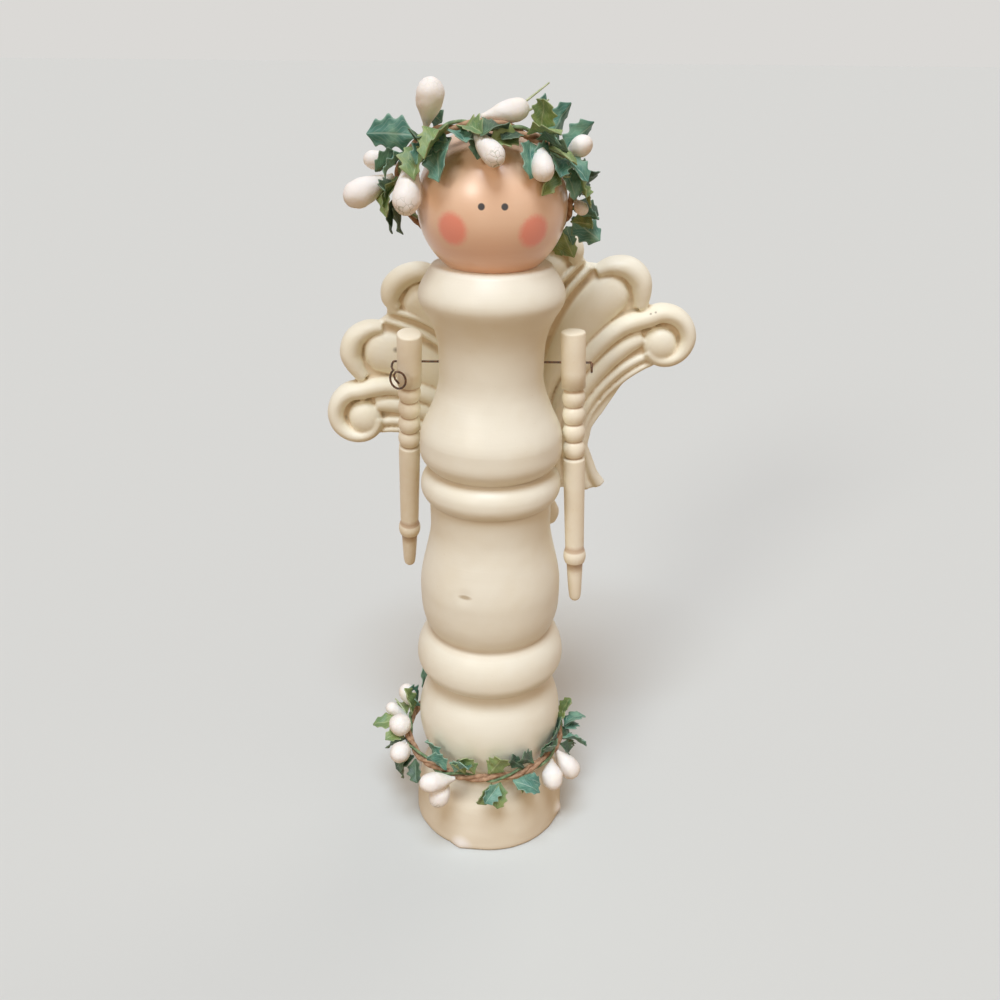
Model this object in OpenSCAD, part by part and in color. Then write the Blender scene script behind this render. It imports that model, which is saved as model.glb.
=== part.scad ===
/* [Spindle body] */
// Diameter of the foot that the doll stands on
foot_d = 47.5; // [43:0.5:52]
// Height of the foot, from the table to the groove above it
foot_h = 20.8; // [18:0.2:26]
// Diameter at the bottom of the groove above the foot
groove_d = 33.2; // [30:0.2:36]
// Diameter of the low bulb
bulb_d = 44.2; // [40:0.2:48]
// Height of the low bulb
bulb_h = 30; // [27:0.5:36]
// Diameter of the notch above the low bulb
low_notch_d = 37.2; // [34:0.2:39]
// Diameter of the low ring
low_ring_d = 44.4; // [41:0.2:48]
// Height of the low ring
low_ring_h = 19.8; // [17:0.2:24]
// Diameter of the notch above the low ring
mid_notch_d = 36; // [34:0.2:39]
// Diameter of the vase
vase_d = 41.4; // [38:0.2:45]
// Height of the vase with its neck
vase_h = 39; // [36:0.5:46]
// Diameter of the neck of the vase
neck_d = 34.6; // [32:0.2:37]
// Diameter of the high ring
high_ring_d = 39.7; // [37:0.1:43]
// Height of the high ring
high_ring_h = 14.4; // [13:0.2:18]
// Diameter of the notch under the bell
bell_notch_d = 33.2; // [31:0.2:36]
// Diameter of the bell
bell_d = 39.6; // [37:0.2:43]
// Height of the bell with the waist above it
bell_h = 42; // [39:0.5:48]
// Diameter of the waist
waist_d = 28.4; // [25:0.2:31]
// Diameter of the crease under the collar
crease_d = 35; // [32:0.2:37]
// Diameter of the collar
collar_d = 38.8; // [36:0.2:42]
// Height of the collar
collar_h = 12.8; // [11:0.2:16]
// Diameter of the flat on top of the collar
collar_top_d = 31.2; // [28:0.2:34]

/* [Head] */
// Diameter of the ball head
head_d = 38; // [34:0.5:42]
// Depth of the flat cut under the ball
head_flat = 4; // [2:0.1:5]
// Diameter of the neck dowel
dowel_d = 6.4; // [5:0.1:8]
// Length of the neck dowel
dowel_len = 22; // [14:0.5:28]
// Clearance around the dowel and past its ends
dowel_clearance = 0.1; // [0.05:0.05:0.3]

/* [Arms] */
// Length of an arm spindle
arm_len = 83.3; // [76:0.5:90]
// Diameter of the plain shoulder of an arm
shoulder_d = 6.7; // [6:0.1:7.5]
// Length of the plain shoulder of an arm
shoulder_len = 15.9; // [13:0.1:18]
// Distance from the top of an arm to its wire hole
wire_hole_drop = 8.6; // [6:0.1:11]
// Diameter of the beads below the shoulder
arm_bead_d = 6.2; // [5.6:0.1:7]
// Length of one bead
arm_bead_len = 5.1; // [4.4:0.1:5.8]
// Diameter of the ring bead above the tip
arm_ring_d = 6.6; // [6:0.1:7.4]
// Length of the ring bead
arm_ring_len = 4.8; // [4:0.1:5.6]
// Length of the tapered tip
arm_tip_len = 13.1; // [10:0.1:16]
// Outward lean of both arms in degrees
arm_lean = 2.7; // [1.5:0.1:4]
// How far the left arm is swung back at rest, in degrees
left_swing = 14; // [0:1:16]
// Gap between an arm and the body beside it
arm_gap = 0.25; // [0.2:0.05:0.5]

/* [Shoulder wire] */
// Diameter of the wire
wire_d = 0.75; // [0.6:0.05:0.9]
// Radial clearance of the wire in its holes
wire_clearance = 0.06; // [0.03:0.01:0.1]
// Height of the wire above the foot of the bell
wire_rise = 28.6; // [26:0.2:31]
// Height of the loop at the left end of the wire
loop_h = 5.5; // [4.5:0.1:6.5]
// Width of the loop at the left end of the wire
loop_w = 4; // [3.4:0.1:5]
// Radius of the eye at the right end of the wire
eye_r = 1.3; // [1.1:0.05:1.6]

/* [Wing plaque] */
// Roll of the plaque about the line of sight, viewer's right side up
wing_roll = 15; // [10:1:18]
// Place of the plaque's centre right of the body axis
wing_shift = 5.5; // [3:0.5:7]
// Height of the plaque's centre above the foot of the bell
wing_rise = 16.2; // [14:0.2:19]
// Thickness of the plaque at its edge
wing_edge = 1.8; // [1.4:0.1:2.2]
// Thickness of the web between the feathers
wing_web = 2.2; // [1.8:0.1:2.6]
// Gap between the plaque and the back of the body
wing_seat = 0.15; // [0.1:0.05:0.3]
// Radius of the eye of each scroll
scroll_eye_r = 4.9; // [4.4:0.1:5.2]
// Radius of the middle of the scroll band
scroll_r = 8; // [7.6:0.1:8.4]

/* [Wreaths] */
// Diameter of the wrapped twig of both wreaths
twig_d = 2.6; // [2:0.1:3]
// Gap between a twig and what it rests on
twig_seat = 0.25; // [0.15:0.05:0.4]
// Gap between a twig and the foot of a leaf or pip
stem_gap = 0.15; // [0.1:0.05:0.3]
// How much wider the head wreath is than the head, on the radius
head_slack = 1.8; // [1:0.1:2.4]
// Backward tilt of the head wreath in degrees
head_tilt = 49.5; // [44:0.5:55]
// Roll of the head wreath in degrees, viewer's left side up
head_roll = 6; // [2:1:8]
// Distance of the head wreath's plane behind the ball's centre
head_offset = 3.9; // [3:0.1:5]
// How much wider the base wreath is than the bulb, on the radius
base_slack = 1.8; // [1:0.1:2.4]
// Height of the base wreath above the groove
base_wreath_rise = 9.2; // [8:0.2:10.5]
// Thickness of a holly leaf
leaf_t = 0.45; // [0.35:0.05:0.6]
// Diameter of the neck of a pip
pip_neck_d = 1.3; // [1:0.1:1.6]

/* [Hidden] */
$fn = 72;
eps = 0.01;

// Height of the widest place of each member above its own foot
bulb_wide = 17.5;
low_ring_wide = 9.6;
vase_wide = 14.4;
high_ring_wide = 7.4;
bell_wide = 7.4;
collar_wide = 5;

// Smaller places on the turning
foot_edge = 1;
foot_shoulder = 13;
foot_shoulder_in = 1.25;
neck_len = 4.1;
neck_flare = 0.1;
bell_flank = 14.5;
bell_flank_out = 0.4;
waist_rise = 26;
crease_step = 0.4;

// Turning stations of the body, from the table up: height in the member, radius, slope
foot_curve = [[foot_edge, foot_d / 2, 0], [foot_shoulder, foot_d / 2 - foot_shoulder_in, -0.18],
    [foot_h, groove_d / 2, -1.6]];
bulb_curve = [[0, groove_d / 2, 0.6], [bulb_wide, bulb_d / 2, 0], [bulb_h, low_notch_d / 2, -0.75]];
low_ring_curve = [[0, low_notch_d / 2, 0.9], [low_ring_wide, low_ring_d / 2, 0],
    [low_ring_h, mid_notch_d / 2, -1]];
vase_curve = [[0, mid_notch_d / 2, 0.6], [vase_wide, vase_d / 2, 0], [vase_h - neck_len, neck_d / 2, 0],
    [vase_h, neck_d / 2 + neck_flare, 0.05]];
high_ring_curve = [[0, neck_d / 2 + neck_flare, 0.8], [high_ring_wide, high_ring_d / 2, 0],
    [high_ring_h, bell_notch_d / 2, -1.3]];
bell_curve = [[0, bell_notch_d / 2, 1.4], [bell_wide, bell_d / 2, 0],
    [bell_flank, (bell_d + waist_d) / 4 + bell_flank_out, -0.47],
    [waist_rise, waist_d / 2, 0], [bell_h, crease_d / 2, 0.35]];
collar_curve = [[0, crease_d / 2 + crease_step, 1.2], [collar_wide, collar_d / 2, 0],
    [collar_h, collar_top_d / 2, -0.6]];

// Height of the foot of each turned member
bulb_z = foot_h;
low_ring_z = bulb_z + bulb_h;
vase_z = low_ring_z + low_ring_h;
high_ring_z = vase_z + vase_h;
bell_z = high_ring_z + high_ring_h;
collar_z = bell_z + bell_h;
body_h = collar_z + collar_h;

// Head, dowel and wire places
head_r = head_d / 2;
head_z = body_h + head_r - head_flat;
dowel_r = dowel_d / 2;
wire_r = wire_d / 2;
wire_bore_r = wire_r + wire_clearance;
wire_z = bell_z + wire_rise;

// The arms stand just clear of the bell, the high ring and the vase
bead_r = arm_bead_d / 2;
arm_ring_r = arm_ring_d / 2;
shoulder_r = shoulder_d / 2;
bell_side = bell_d / 2 + bead_r - (wire_z - bell_z - bell_wide) * tan(arm_lean);
high_ring_side = high_ring_d / 2 + bead_r - (wire_z - high_ring_z - high_ring_wide) * tan(arm_lean);
arm_ring_drop = arm_len - wire_hole_drop - arm_tip_len - arm_ring_len;
vase_side = vase_d / 2 + arm_ring_r - arm_ring_drop * tan(arm_lean);
arm_x = max(bell_side, high_ring_side, vase_side) + arm_gap;
arm_out = arm_x + shoulder_r;

// Height of the tallest feathers of the plaque, and of those that touch the body
wing_relief = 6;
wing_touch = 4.35;
wing_back_y = max(bell_d, high_ring_d, collar_d) / 2 + wing_seat + wing_touch;
wing_z = bell_z + wing_rise;

// Wreath hoops
twig_r = twig_d / 2;
stem_r = twig_r + stem_gap;
head_hoop_r = sqrt(pow(head_r + twig_r + twig_seat, 2) - pow(head_offset, 2)) + head_slack;
base_wreath_z = bulb_z + base_wreath_rise;
base_hoop_r = curve_r(bulb_curve, base_wreath_rise) + twig_r + twig_seat + base_slack;

// Pips: place round the hoop, lift and swing of the stem, length, diameter
HEAD_PIPS = [
    [318, 30, 42, 12, 6.6], [284, 14, -26, 8.5, 4.6], [276, -24, -30, 14, 7], [303, -96, -14, 16, 6.8],
    [347, -85, 34, 13.5, 6], [352, 80, 56, 13, 6.2], [30, -80, 4, 11.5, 5.4], [50, 20, 10, 7, 5],
    [86, -60, -10, 5, 3.4]];
BASE_PIPS = [
    [251, 70, 0, 9, 5], [262, 36, 4, 8, 3.6], [271, 62, 40, 9, 6.4], [290, 20, 45, 9, 5.6],
    [285, -58, -20, 9, 3.4], [341, 6, -52, 11, 5.6], [334, -50, -6, 9.5, 6], [57, -58, -34, 9.5, 5.6],
    [66, -52, 4, 11, 5.4]];

// Holly leaves: place round the hoop, lift, swing and turn of the blade, length, width
HEAD_LEAVES = [
    [311, 2, -48, -30, 12, 8], [333, -78, -24, 0, 10.5, 8], [307, -70, -8, 0, 6.5, 5],
    [328, 62, -40, 0, 7, 4.5], [279, -80, -46, 0, 9, 5], [262, -75, -50, 0, 10, 6],
    [44, 84, -30, 0, 13, 8], [27, 20, -26, 40, 8, 6.5], [16, -72, -42, 0, 7, 4.5],
    [41, -78, 8, 0, 8, 5.5], [63, -60, 20, 0, 7, 5], [88, -10, 34, 40, 6.5, 4],
    [103, -24, 8, 50, 9.5, 7], [117, -20, 30, 40, 9, 5.5], [74, 70, 20, 0, 8, 6],
    [148, 66, -46, 0, 8.5, 6], [214, 66, 46, 0, 8.5, 6]];
BASE_LEAVES = [
    [239, 84, -14, 0, 11, 8], [266, -2, 8, 20, 10.5, 6.5], [294, -70, 6, 0, 10, 5.5],
    [334, 60, -48, 0, 7.5, 6], [354, 74, -34, 0, 8, 5.5], [38, 72, -44, 0, 9, 5],
    [20, -24, 50, 0, 9, 5], [12, -72, -10, 0, 8.5, 4.5], [61, 80, 12, 0, 7, 5],
    [80, -20, 4, 30, 8.5, 6.5], [97, 60, 12, 0, 7.5, 5.5], [75, -66, 30, 0, 8, 4.5],
    [155, 50, 16, 0, 8.5, 6], [205, 50, -16, 0, 8.5, 6]];

// A turned curve: cubic pieces through stations of height, radius and slope
curve_steps = 8;
function hermite(a, b, t) =
    let (h = b[0] - a[0], t2 = t * t, t3 = t2 * t)
    (2 * t3 - 3 * t2 + 1) * a[1] + (t3 - 2 * t2 + t) * h * a[2]
    + (3 * t2 - 2 * t3) * b[1] + (t3 - t2) * h * b[2];
function curve_points(c, z0) =
    [for (i = [0:len(c) - 2], j = [0:curve_steps])
        if (i == 0 || j > 0)
            let (t = j / curve_steps)
            [hermite(c[i], c[i + 1], t), z0 + c[i][0] + (c[i + 1][0] - c[i][0]) * t]];
function curve_r(c, z) =
    let (i = max([for (k = [0:len(c) - 2]) if (c[k][0] <= z) k]))
    hermite(c[i], c[i + 1], (z - c[i][0]) / (c[i + 1][0] - c[i][0]));

// A spline through hand-placed points of any number of values
function spline_at(a, b, c, d, t) =
    0.5 * (2 * b + (c - a) * t + (2 * a - 5 * b + 4 * c - d) * t * t + (3 * b - a - 3 * c + d) * t * t * t);
function spline(p, n) = let (last = len(p) - 1)
    [for (i = [0:last - 1], j = [0:n - 1])
        spline_at(p[max(i - 1, 0)], p[i], p[i + 1], p[min(i + 2, last)], j / n), p[last]];

// Skin over a row of equal rings, closed at both ends
function skin_faces(rings, sides) = concat(
    [for (i = [0:rings - 2], k = [0:sides - 1])
        let (a = i * sides + k, b = i * sides + (k + 1) % sides)
        each [[a, b, a + sides], [b, b + sides, a + sides]]],
    [[for (k = [sides - 1:-1:0]) k]],
    [[for (k = [0:sides - 1]) (rings - 1) * sides + k]]);
module skin(rings) {
    polyhedron(points = [for (r = rings) each r], faces = skin_faces(len(rings), len(rings[0])));
}

// Turned spindle body, one piece of wood, drilled for the neck dowel and the shoulder wire
module body_spindle() {
    outline = concat(
        [[0, 0], [foot_d / 2 - foot_edge, 0]],
        [for (a = [15:15:75]) [foot_d / 2 - foot_edge * (1 - sin(a)), foot_edge * (1 - cos(a))]],
        curve_points(foot_curve, 0),
        [for (m = [[bulb_curve, bulb_z], [low_ring_curve, low_ring_z], [vase_curve, vase_z],
            [high_ring_curve, high_ring_z], [bell_curve, bell_z], [collar_curve, collar_z]])
            let (p = curve_points(m[0], m[1])) each [for (i = [1:len(p) - 1]) p[i]]],
        [[0, body_h]]);
    color("#f3ebda")
    difference() {
        rotate_extrude() polygon(outline);
        translate([0, 0, body_h - dowel_len / 2 - dowel_clearance])
            cylinder(r = dowel_r + dowel_clearance, h = dowel_len);
        translate([-bell_d / 2, 0, wire_z]) rotate([0, 90, 0]) cylinder(r = wire_bore_r, h = bell_d);
    }
}

// Wooden ball with a flat underside, drilled for the neck dowel
module head_ball() {
    color("#e0a87e")
    difference() {
        translate([0, 0, head_z]) sphere(head_r);
        translate([-head_r, -head_r, body_h - head_d]) cube([head_d, head_d, head_d]);
        translate([0, 0, body_h - eps])
            cylinder(r = dowel_r + dowel_clearance, h = dowel_len / 2 + dowel_clearance);
    }
}

// Plain dowel that joins the head to the body
module neck_dowel() {
    color("#d9b98c")
    translate([0, 0, body_h - dowel_len / 2]) cylinder(r = dowel_r, h = dowel_len);
}

// Turned arm: shoulder, four beads, long taper, ring bead and tip, drilled across for the wire
arm_beads = 4;
arm_edge = 0.5;
bead_groove_r = bead_r - 0.65;
taper_lead = 0.4;
taper_root_r = bead_r - 0.05;
taper_end_r = 2.75;
tip_root_r = 2.4;
tip_end_r = 1.7;
module arm_turning() {
    beads_end = shoulder_len + arm_beads * arm_bead_len;
    ring_top = arm_len - arm_tip_len - arm_ring_len;
    tip_top = arm_len - arm_tip_len;
    outline = concat(
        [[0, 0], [shoulder_r - arm_edge, 0], [shoulder_r, -arm_edge], [shoulder_r, -shoulder_len]],
        [for (b = [0:arm_beads - 1], a = [0:22.5:180])
            [bead_groove_r + (bead_r - bead_groove_r) * sin(a),
                -shoulder_len - arm_bead_len * (b + a / 180)]],
        [[taper_root_r, -beads_end - taper_lead], [taper_end_r, -ring_top]],
        [for (a = [22.5:22.5:157.5])
            [taper_end_r + (arm_ring_r - taper_end_r) * sin(a), -ring_top - arm_ring_len * a / 180]],
        [[tip_root_r, -tip_top]],
        [for (a = [0:22.5:90]) [tip_end_r * cos(a), -arm_len + tip_end_r * (1 - sin(a))]]);
    rotate_extrude() polygon(outline);
}
module hung_arm(side, swing) {
    color("#ebd9be")
    difference() {
        translate([side * arm_x, 0, wire_z]) rotate([swing, 0, 0]) rotate([0, -side * arm_lean, 0])
            translate([0, 0, wire_hole_drop]) arm_turning();
        translate([side * arm_x - shoulder_d, 0, wire_z]) rotate([0, 90, 0])
            cylinder(r = wire_bore_r, h = 2 * shoulder_d);
    }
}
module left_arm() hung_arm(-1, left_swing);
module right_arm() hung_arm(1, 0);

// One rusty wire through both arms and the body: a loop hooks the left arm, an eye holds the right one
wire_sides = 6;
bent_r = 0.96 * wire_r;
wire_stub = 0.9;
loop_stand = 4.6;
loop_side = 2.7;
loop_drop = 0.45;
loop_advance = 1.5;
loop_turn = 320;
loop_rings = 24;
loop_start = 80;
loop_end_y = -loop_stand - loop_advance - 0.2;
loop_path = concat(
    [[wire_stub, 0, 0], [wire_stub + 0.4, 0, 0], [wire_stub + 1, -0.8, 0], [wire_stub + 0.7, -2.4, -0.1],
        [-0.7, -loop_stand + 0.3, -0.2]],
    [for (i = [0:loop_rings])
        let (t = i / loop_rings, a = loop_start + loop_turn * t)
        [loop_w / 2 * cos(a) - loop_side, -loop_stand - loop_advance * t,
            loop_h / 2 * (sin(a) - 1) - loop_drop]],
    [[-2.6, loop_end_y, -2.6], [-3.1, loop_end_y, -3.8]]);
eye_turn = 300;
eye_lead = 0.5;
eye_advance = 0.5;
eye_path = concat(
    [[wire_stub, 0, 0], [wire_stub + 0.2, 0, 0]],
    [for (i = [0:loop_rings])
        let (t = i / loop_rings, a = 90 - eye_turn * t)
        [wire_stub + eye_lead + eye_advance * t, -eye_r * cos(a), eye_r * (sin(a) - 1)]]);
function unit(v) = v / norm(v);
function tangent(p, i) = unit(p[min(i + 1, len(p) - 1)] - p[max(i - 1, 0)]);
function square_to(n, t) = unit(n - (n * t) * t);
function carried(p) =
    [for (i = 0, n = [0, 0, 1]; i < len(p); i = i + 1, n = square_to(n, tangent(p, min(i, len(p) - 1)))) n];
function tube_rings(p, r) =
    let (up = carried(p))
    [for (i = [0:len(p) - 1])
        let (side = cross(up[i], tangent(p, i)))
        [for (k = [0:wire_sides - 1])
            let (a = 360 * k / wire_sides)
            p[i] + r * (cos(a) * up[i] + sin(a) * side)]];
function self_gap(p, apart, d) =
    min([for (i = [0:len(p) - 1], j = [i:len(p) - 1]) if (j - i > apart) norm(p[i] - p[j])]) - d;
echo(loop_self_gap = self_gap(loop_path, 6, wire_d), eye_self_gap = self_gap(eye_path, 6, wire_d));
module shoulder_wire() {
    color("#3a2a20") {
        translate([-arm_out - wire_stub, 0, wire_z]) rotate([0, 90, 0])
            cylinder(r = wire_r, h = 2 * (arm_out + wire_stub));
        translate([-arm_out, 0, wire_z]) rotate([left_swing, 0, 0]) mirror([1, 0, 0])
            skin(tube_rings(loop_path, bent_r));
        translate([arm_out, 0, wire_z]) skin(tube_rings(eye_path, bent_r));
    }
}

// Carved wing plaque. Each feather is a ridge along hand-placed points: across, up, half width, height.
centre_feather = [[0, -49.4, 2.4, 2.8], [0, -46, 4.4, 3.6], [0, -40, 3.4, 3.6], [0, -28, 1.6, 3.4],
    [0, -8, 1.6, 3.8], [0, 10, 2.4, 4.2], [0, 25, 3.8, 4.8], [0, 34, 3.4, 4.8], [0, 37.6, 1.4, 3]];
centre_curl = [[-8.6, 35, 1.4, 4.4], [-6.6, 40.2, 2, 5.4], [0, 42.8, 2.3, 5.8], [6.6, 40.2, 2, 5.4],
    [8.6, 35, 1.4, 4.4]];
inner_feather = [[1.6, -26, 1, 3.2], [2.8, -9, 1.6, 3.7], [5.6, 6, 2.5, 4.3], [10.6, 18, 3.9, 4.8],
    [16.5, 26.4, 4.8, 5], [20.4, 30.8, 4.6, 4.8], [22, 32.4, 3, 3]];
inner_curl = [[11.6, 34.6, 1.7, 4.4], [16.1, 37.2, 2.6, 5.6], [21.3, 37.2, 3.1, 6], [25.4, 35.1, 3.2, 6],
    [26.9, 31.9, 2.7, 5.5], [25.8, 29, 1.6, 4.4]];
upper_ray = [[2, -22, 0.7, 3.2], [4.6, -2, 0.8, 3.6], [9.4, 11, 0.9, 4], [17.6, 22, 1, 4.2],
    [25.4, 27.6, 1, 4.2], [30.6, 30.4, 0.8, 3.2]];
lower_ray = [[2.6, -24, 0.7, 3.2], [5.6, -6, 0.8, 3.6], [11.2, 8, 0.9, 4], [19.6, 19, 1, 4.2],
    [27.4, 25, 1, 4.2], [31.8, 27.8, 0.8, 3.2]];
outer_feather = [[3.6, -31, 1, 3.2], [5.6, -17, 1.6, 3.7], [10, -4.4, 2.8, 4.3], [18.3, 6, 4.7, 4.8],
    [27.6, 14.2, 6.3, 5.2], [34.6, 18.4, 6.2, 5.2], [37.4, 19.6, 4.8, 4.4], [38.6, 20, 3, 2.8]];
outer_curl = [[31.6, 24.7, 1.7, 4.4], [36, 25.2, 2.6, 5.6], [40.4, 23.5, 3.2, 6], [42.9, 19.8, 3.3, 6],
    [42.6, 16.2, 2.9, 5.6], [40.8, 13, 1.8, 4.4]];
scroll_centre = [45.6, 0.6];
scroll_eye_shift = [-0.8, -0.7];
scroll_eye_h = 5.4;
scroll_lead = [[6.6, -36, 1.2, 3.4], [7.8, -25.6, 1.6, 3.9], [11, -14, 2.2, 4.7], [17.4, -4.4, 2.6, 5.3],
    [26, 3, 2.9, 5.6], [35, 7.5, 2.9, 5.8]];
scroll_from = 108;
scroll_to = -158;
scroll_steps = 9;
scroll_close = 1.1;
scroll_half_w = 2.9;
scroll_fade = 1;
scroll_feather = concat(scroll_lead,
    [for (i = [0:scroll_steps])
        let (t = i / scroll_steps, a = scroll_from + (scroll_to - scroll_from) * t)
        let (r = scroll_r - scroll_close * t * t)
        [scroll_centre[0] + r * cos(a), scroll_centre[1] + r * sin(a),
            scroll_half_w - scroll_fade * t, wing_relief - scroll_fade * t]]);
low_feather = [[9.8, -37, 1, 3.2], [11, -27, 1.4, 3.5], [13.8, -17, 2.1, 4.1], [19.6, -8.8, 2.7, 4.6],
    [27.4, -2.6, 2.9, 4.8], [34, 1, 2.8, 4.8], [37.8, 2.4, 1.8, 3.8]];
thin_band = [[14.6, -40.4, 1.5, 3.4], [14, -34, 1.5, 3.4], [14.3, -26, 1.4, 3.6], [17.1, -18, 1.5, 3.9],
    [23.4, -10.8, 1.6, 4], [31.2, -5.7, 1.6, 4], [37.2, -3.4, 1.4, 3.6]];
edge_band = [[18.6, -40.2, 1.9, 3.4], [17.3, -36, 1.6, 3.4], [16.7, -29.5, 1.1, 3.2], [17.5, -23, 0.9, 3.1],
    [20.4, -17.2, 0.9, 3.1], [26.2, -11.9, 0.9, 3.1], [33, -8, 0.9, 3.1], [38.6, -6, 0.9, 3.1]];
half_feathers = [[inner_feather, 3], [inner_curl, 3], [upper_ray, 2], [lower_ray, 2], [outer_feather, 3],
    [outer_curl, 3], [scroll_feather, 2], [low_feather, 2], [thin_band, 2], [edge_band, 2]];

// Webs behind the feathers, each between two discs: across, up, radius
half_webs = [[[0, -34, 3], [0, 34, 5]], [[2, -24, 2], [19, 31, 6]], [[8, 6, 3], [28, 26, 2.4]],
    [[3, -28, 3], [35, 19.5, 5.6]], [[8, -32, 5], [12, -18, 4]], [[12, -18, 4], [24, -5.5, 5]],
    [[24, -5, 5], [38, 1.5, 5]], [[38, 3, 5], [45.6, 0.6, 7.8]], [[2, -34, 3], [13, -37, 2.4]],
    [[14.4, -37, 2.4], [15.4, -25, 2.4]], [[16.6, -22, 1.8], [34, -5, 2]], [[0, 34, 5], [0, 40.6, 5.4]],
    [[14.6, -26, 3], [20, -14.5, 3]], [[20, -14.5, 3], [32, -5, 3.2]], [[32, -5, 3.2], [39, -2.5, 3]],
    [[20, 8, 6], [34, 17, 6.5]], [[33, 15, 6], [39.6, 17, 4.6]], [[12, 20, 5], [21.6, 31, 6.4]],
    [[26, 25, 4], [33, 20, 6]]];
ridge_steps = 5;
function ridge_ring(p, n) = let (e = min(wing_edge, p[3])) concat(
    [[p[0] + n[0] * p[2], p[1] + n[1] * p[2], 0]],
    [for (k = [0:ridge_steps]) let (a = 180 * k / ridge_steps)
        [p[0] + n[0] * p[2] * cos(a), p[1] + n[1] * p[2] * cos(a), e + (p[3] - e) * sin(a)]],
    [[p[0] - n[0] * p[2], p[1] - n[1] * p[2], 0]]);
module ridge(points, n) {
    p = spline(points, n);
    last = len(p) - 1;
    skin([for (i = [0:last])
        let (d = p[min(i + 1, last)] - p[max(i - 1, 0)], l = norm([d[0], d[1]]))
        ridge_ring(p[i], [d[1] / l, -d[0] / l])]);
}
module half_plaque() {
    for (f = half_feathers) ridge(f[0], f[1]);
    for (w = half_webs) hull()
        for (d = w) translate([d[0], d[1], 0]) cylinder(r = d[2], h = wing_web, $fn = 24);
    translate(scroll_centre + scroll_eye_shift) scroll_eye();
}
module scroll_eye() {
    translate([0, 0, scroll_eye_h / 2])
        scale([1, 1, scroll_eye_h / (2 * scroll_eye_r)]) sphere(scroll_eye_r, $fn = 32);
}
module wing_plaque() {
    color("#f5ead0")
    translate([wing_shift, wing_back_y, wing_z]) rotate([0, -wing_roll, 0]) rotate([90, 0, 0])
    union() {
        half_plaque();
        mirror([1, 0, 0]) half_plaque();
        ridge(centre_feather, 2);
        ridge(centre_curl, 3);
    }
}

// Frame of each wreath: its hoop lies in the local ground plane with the front towards the viewer
module head_wreath() {
    translate([0, 0, head_z]) rotate([0, head_roll, 0]) rotate([-head_tilt, 0, 0])
        translate([-head_slack, 0, head_offset]) children();
}
module base_wreath() {
    translate([-base_slack, 0, base_wreath_z]) children();
}
module twig(hoop_r) {
    color("#a67f62") rotate_extrude() translate([hoop_r, 0]) circle(twig_r);
}
module head_twig() head_wreath() twig(head_hoop_r);
module base_twig() base_wreath() twig(base_hoop_r);

// Foot of a stem on the hoop, pointing out along local -Y
module on_hoop(hoop_r, s) {
    foot_tilt = pip_neck_d / 2 * abs(sin(s[2]));
    rotate([0, 0, s[0]]) translate([0, -hoop_r, 0]) rotate([-s[1], 0, 0])
        translate([0, -stem_r - foot_tilt, 0]) rotate([0, 0, s[2]]) children();
}

// White pip: a thin neck that swells to a round end
pip_rows = 8;
module pip(len, d) {
    cap = min(0.6 * d, len / 2);
    outline = concat(
        [[0, 0]],
        [for (i = [0:pip_rows]) let (t = i / pip_rows)
            [pip_neck_d / 2 + (d - pip_neck_d) / 2 * (1 - cos(180 * pow(t, 0.8))) / 2, (len - cap) * t]],
        [for (a = [15:15:90]) [d / 2 * cos(a), len - cap + cap * sin(a)]]);
    color("#f4f1e6") rotate([90, 0, 0]) rotate_extrude() polygon(outline);
}
module head_pip(i) head_wreath() on_hoop(head_hoop_r, HEAD_PIPS[i]) pip(HEAD_PIPS[i][3], HEAD_PIPS[i][4]);
module base_pip(i) base_wreath() on_hoop(base_hoop_r, BASE_PIPS[i]) pip(BASE_PIPS[i][3], BASE_PIPS[i][4]);

// Holly leaf: spines and bays along a folded blade, as shares of its length and half width
leaf_edge = [[0, 0.1], [0.14, 0.3], [0.3, 0.8], [0.42, 0.42], [0.58, 1], [0.7, 0.44], [0.84, 0.62],
    [1, 0.04]];
leaf_fold = 0.22;
leaf_arch = 0.1;
function leaf_ring(e, len, w) =
    let (x = e[1] * w / 2, y = -e[0] * len, z = leaf_arch * len * e[0] * (1 - e[0]))
    [[-x, y, z + leaf_fold * x], [0, y, z], [x, y, z + leaf_fold * x],
        [x, y, z + leaf_fold * x - leaf_t], [0, y, z - leaf_t], [-x, y, z + leaf_fold * x - leaf_t]];
module leaf(len, w, hue) {
    color(hue) skin([for (e = leaf_edge) leaf_ring(e, len, w)]);
}
leaf_hues = ["#4f8b77", "#8fb46a", "#2e5a48"];
module head_leaf(i) head_wreath() on_hoop(head_hoop_r, HEAD_LEAVES[i]) rotate([0, HEAD_LEAVES[i][3], 0])
    leaf(HEAD_LEAVES[i][4], HEAD_LEAVES[i][5], leaf_hues[i % len(leaf_hues)]);
module base_leaf(i) base_wreath() on_hoop(base_hoop_r, BASE_LEAVES[i]) rotate([0, BASE_LEAVES[i][3], 0])
    leaf(BASE_LEAVES[i][4], BASE_LEAVES[i][5], leaf_hues[i % len(leaf_hues)]);

body_spindle();
head_ball();
neck_dowel();
left_arm();
right_arm();
shoulder_wire();
wing_plaque();
head_twig();
base_twig();
for (i = [0:len(HEAD_PIPS) - 1]) head_pip(i);
for (i = [0:len(HEAD_LEAVES) - 1]) head_leaf(i);
for (i = [0:len(BASE_PIPS) - 1]) base_pip(i);
for (i = [0:len(BASE_LEAVES) - 1]) base_leaf(i);
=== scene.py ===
import math
import random

import bmesh
import bpy
import numpy as np
from mathutils import Matrix, Vector, noise


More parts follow.
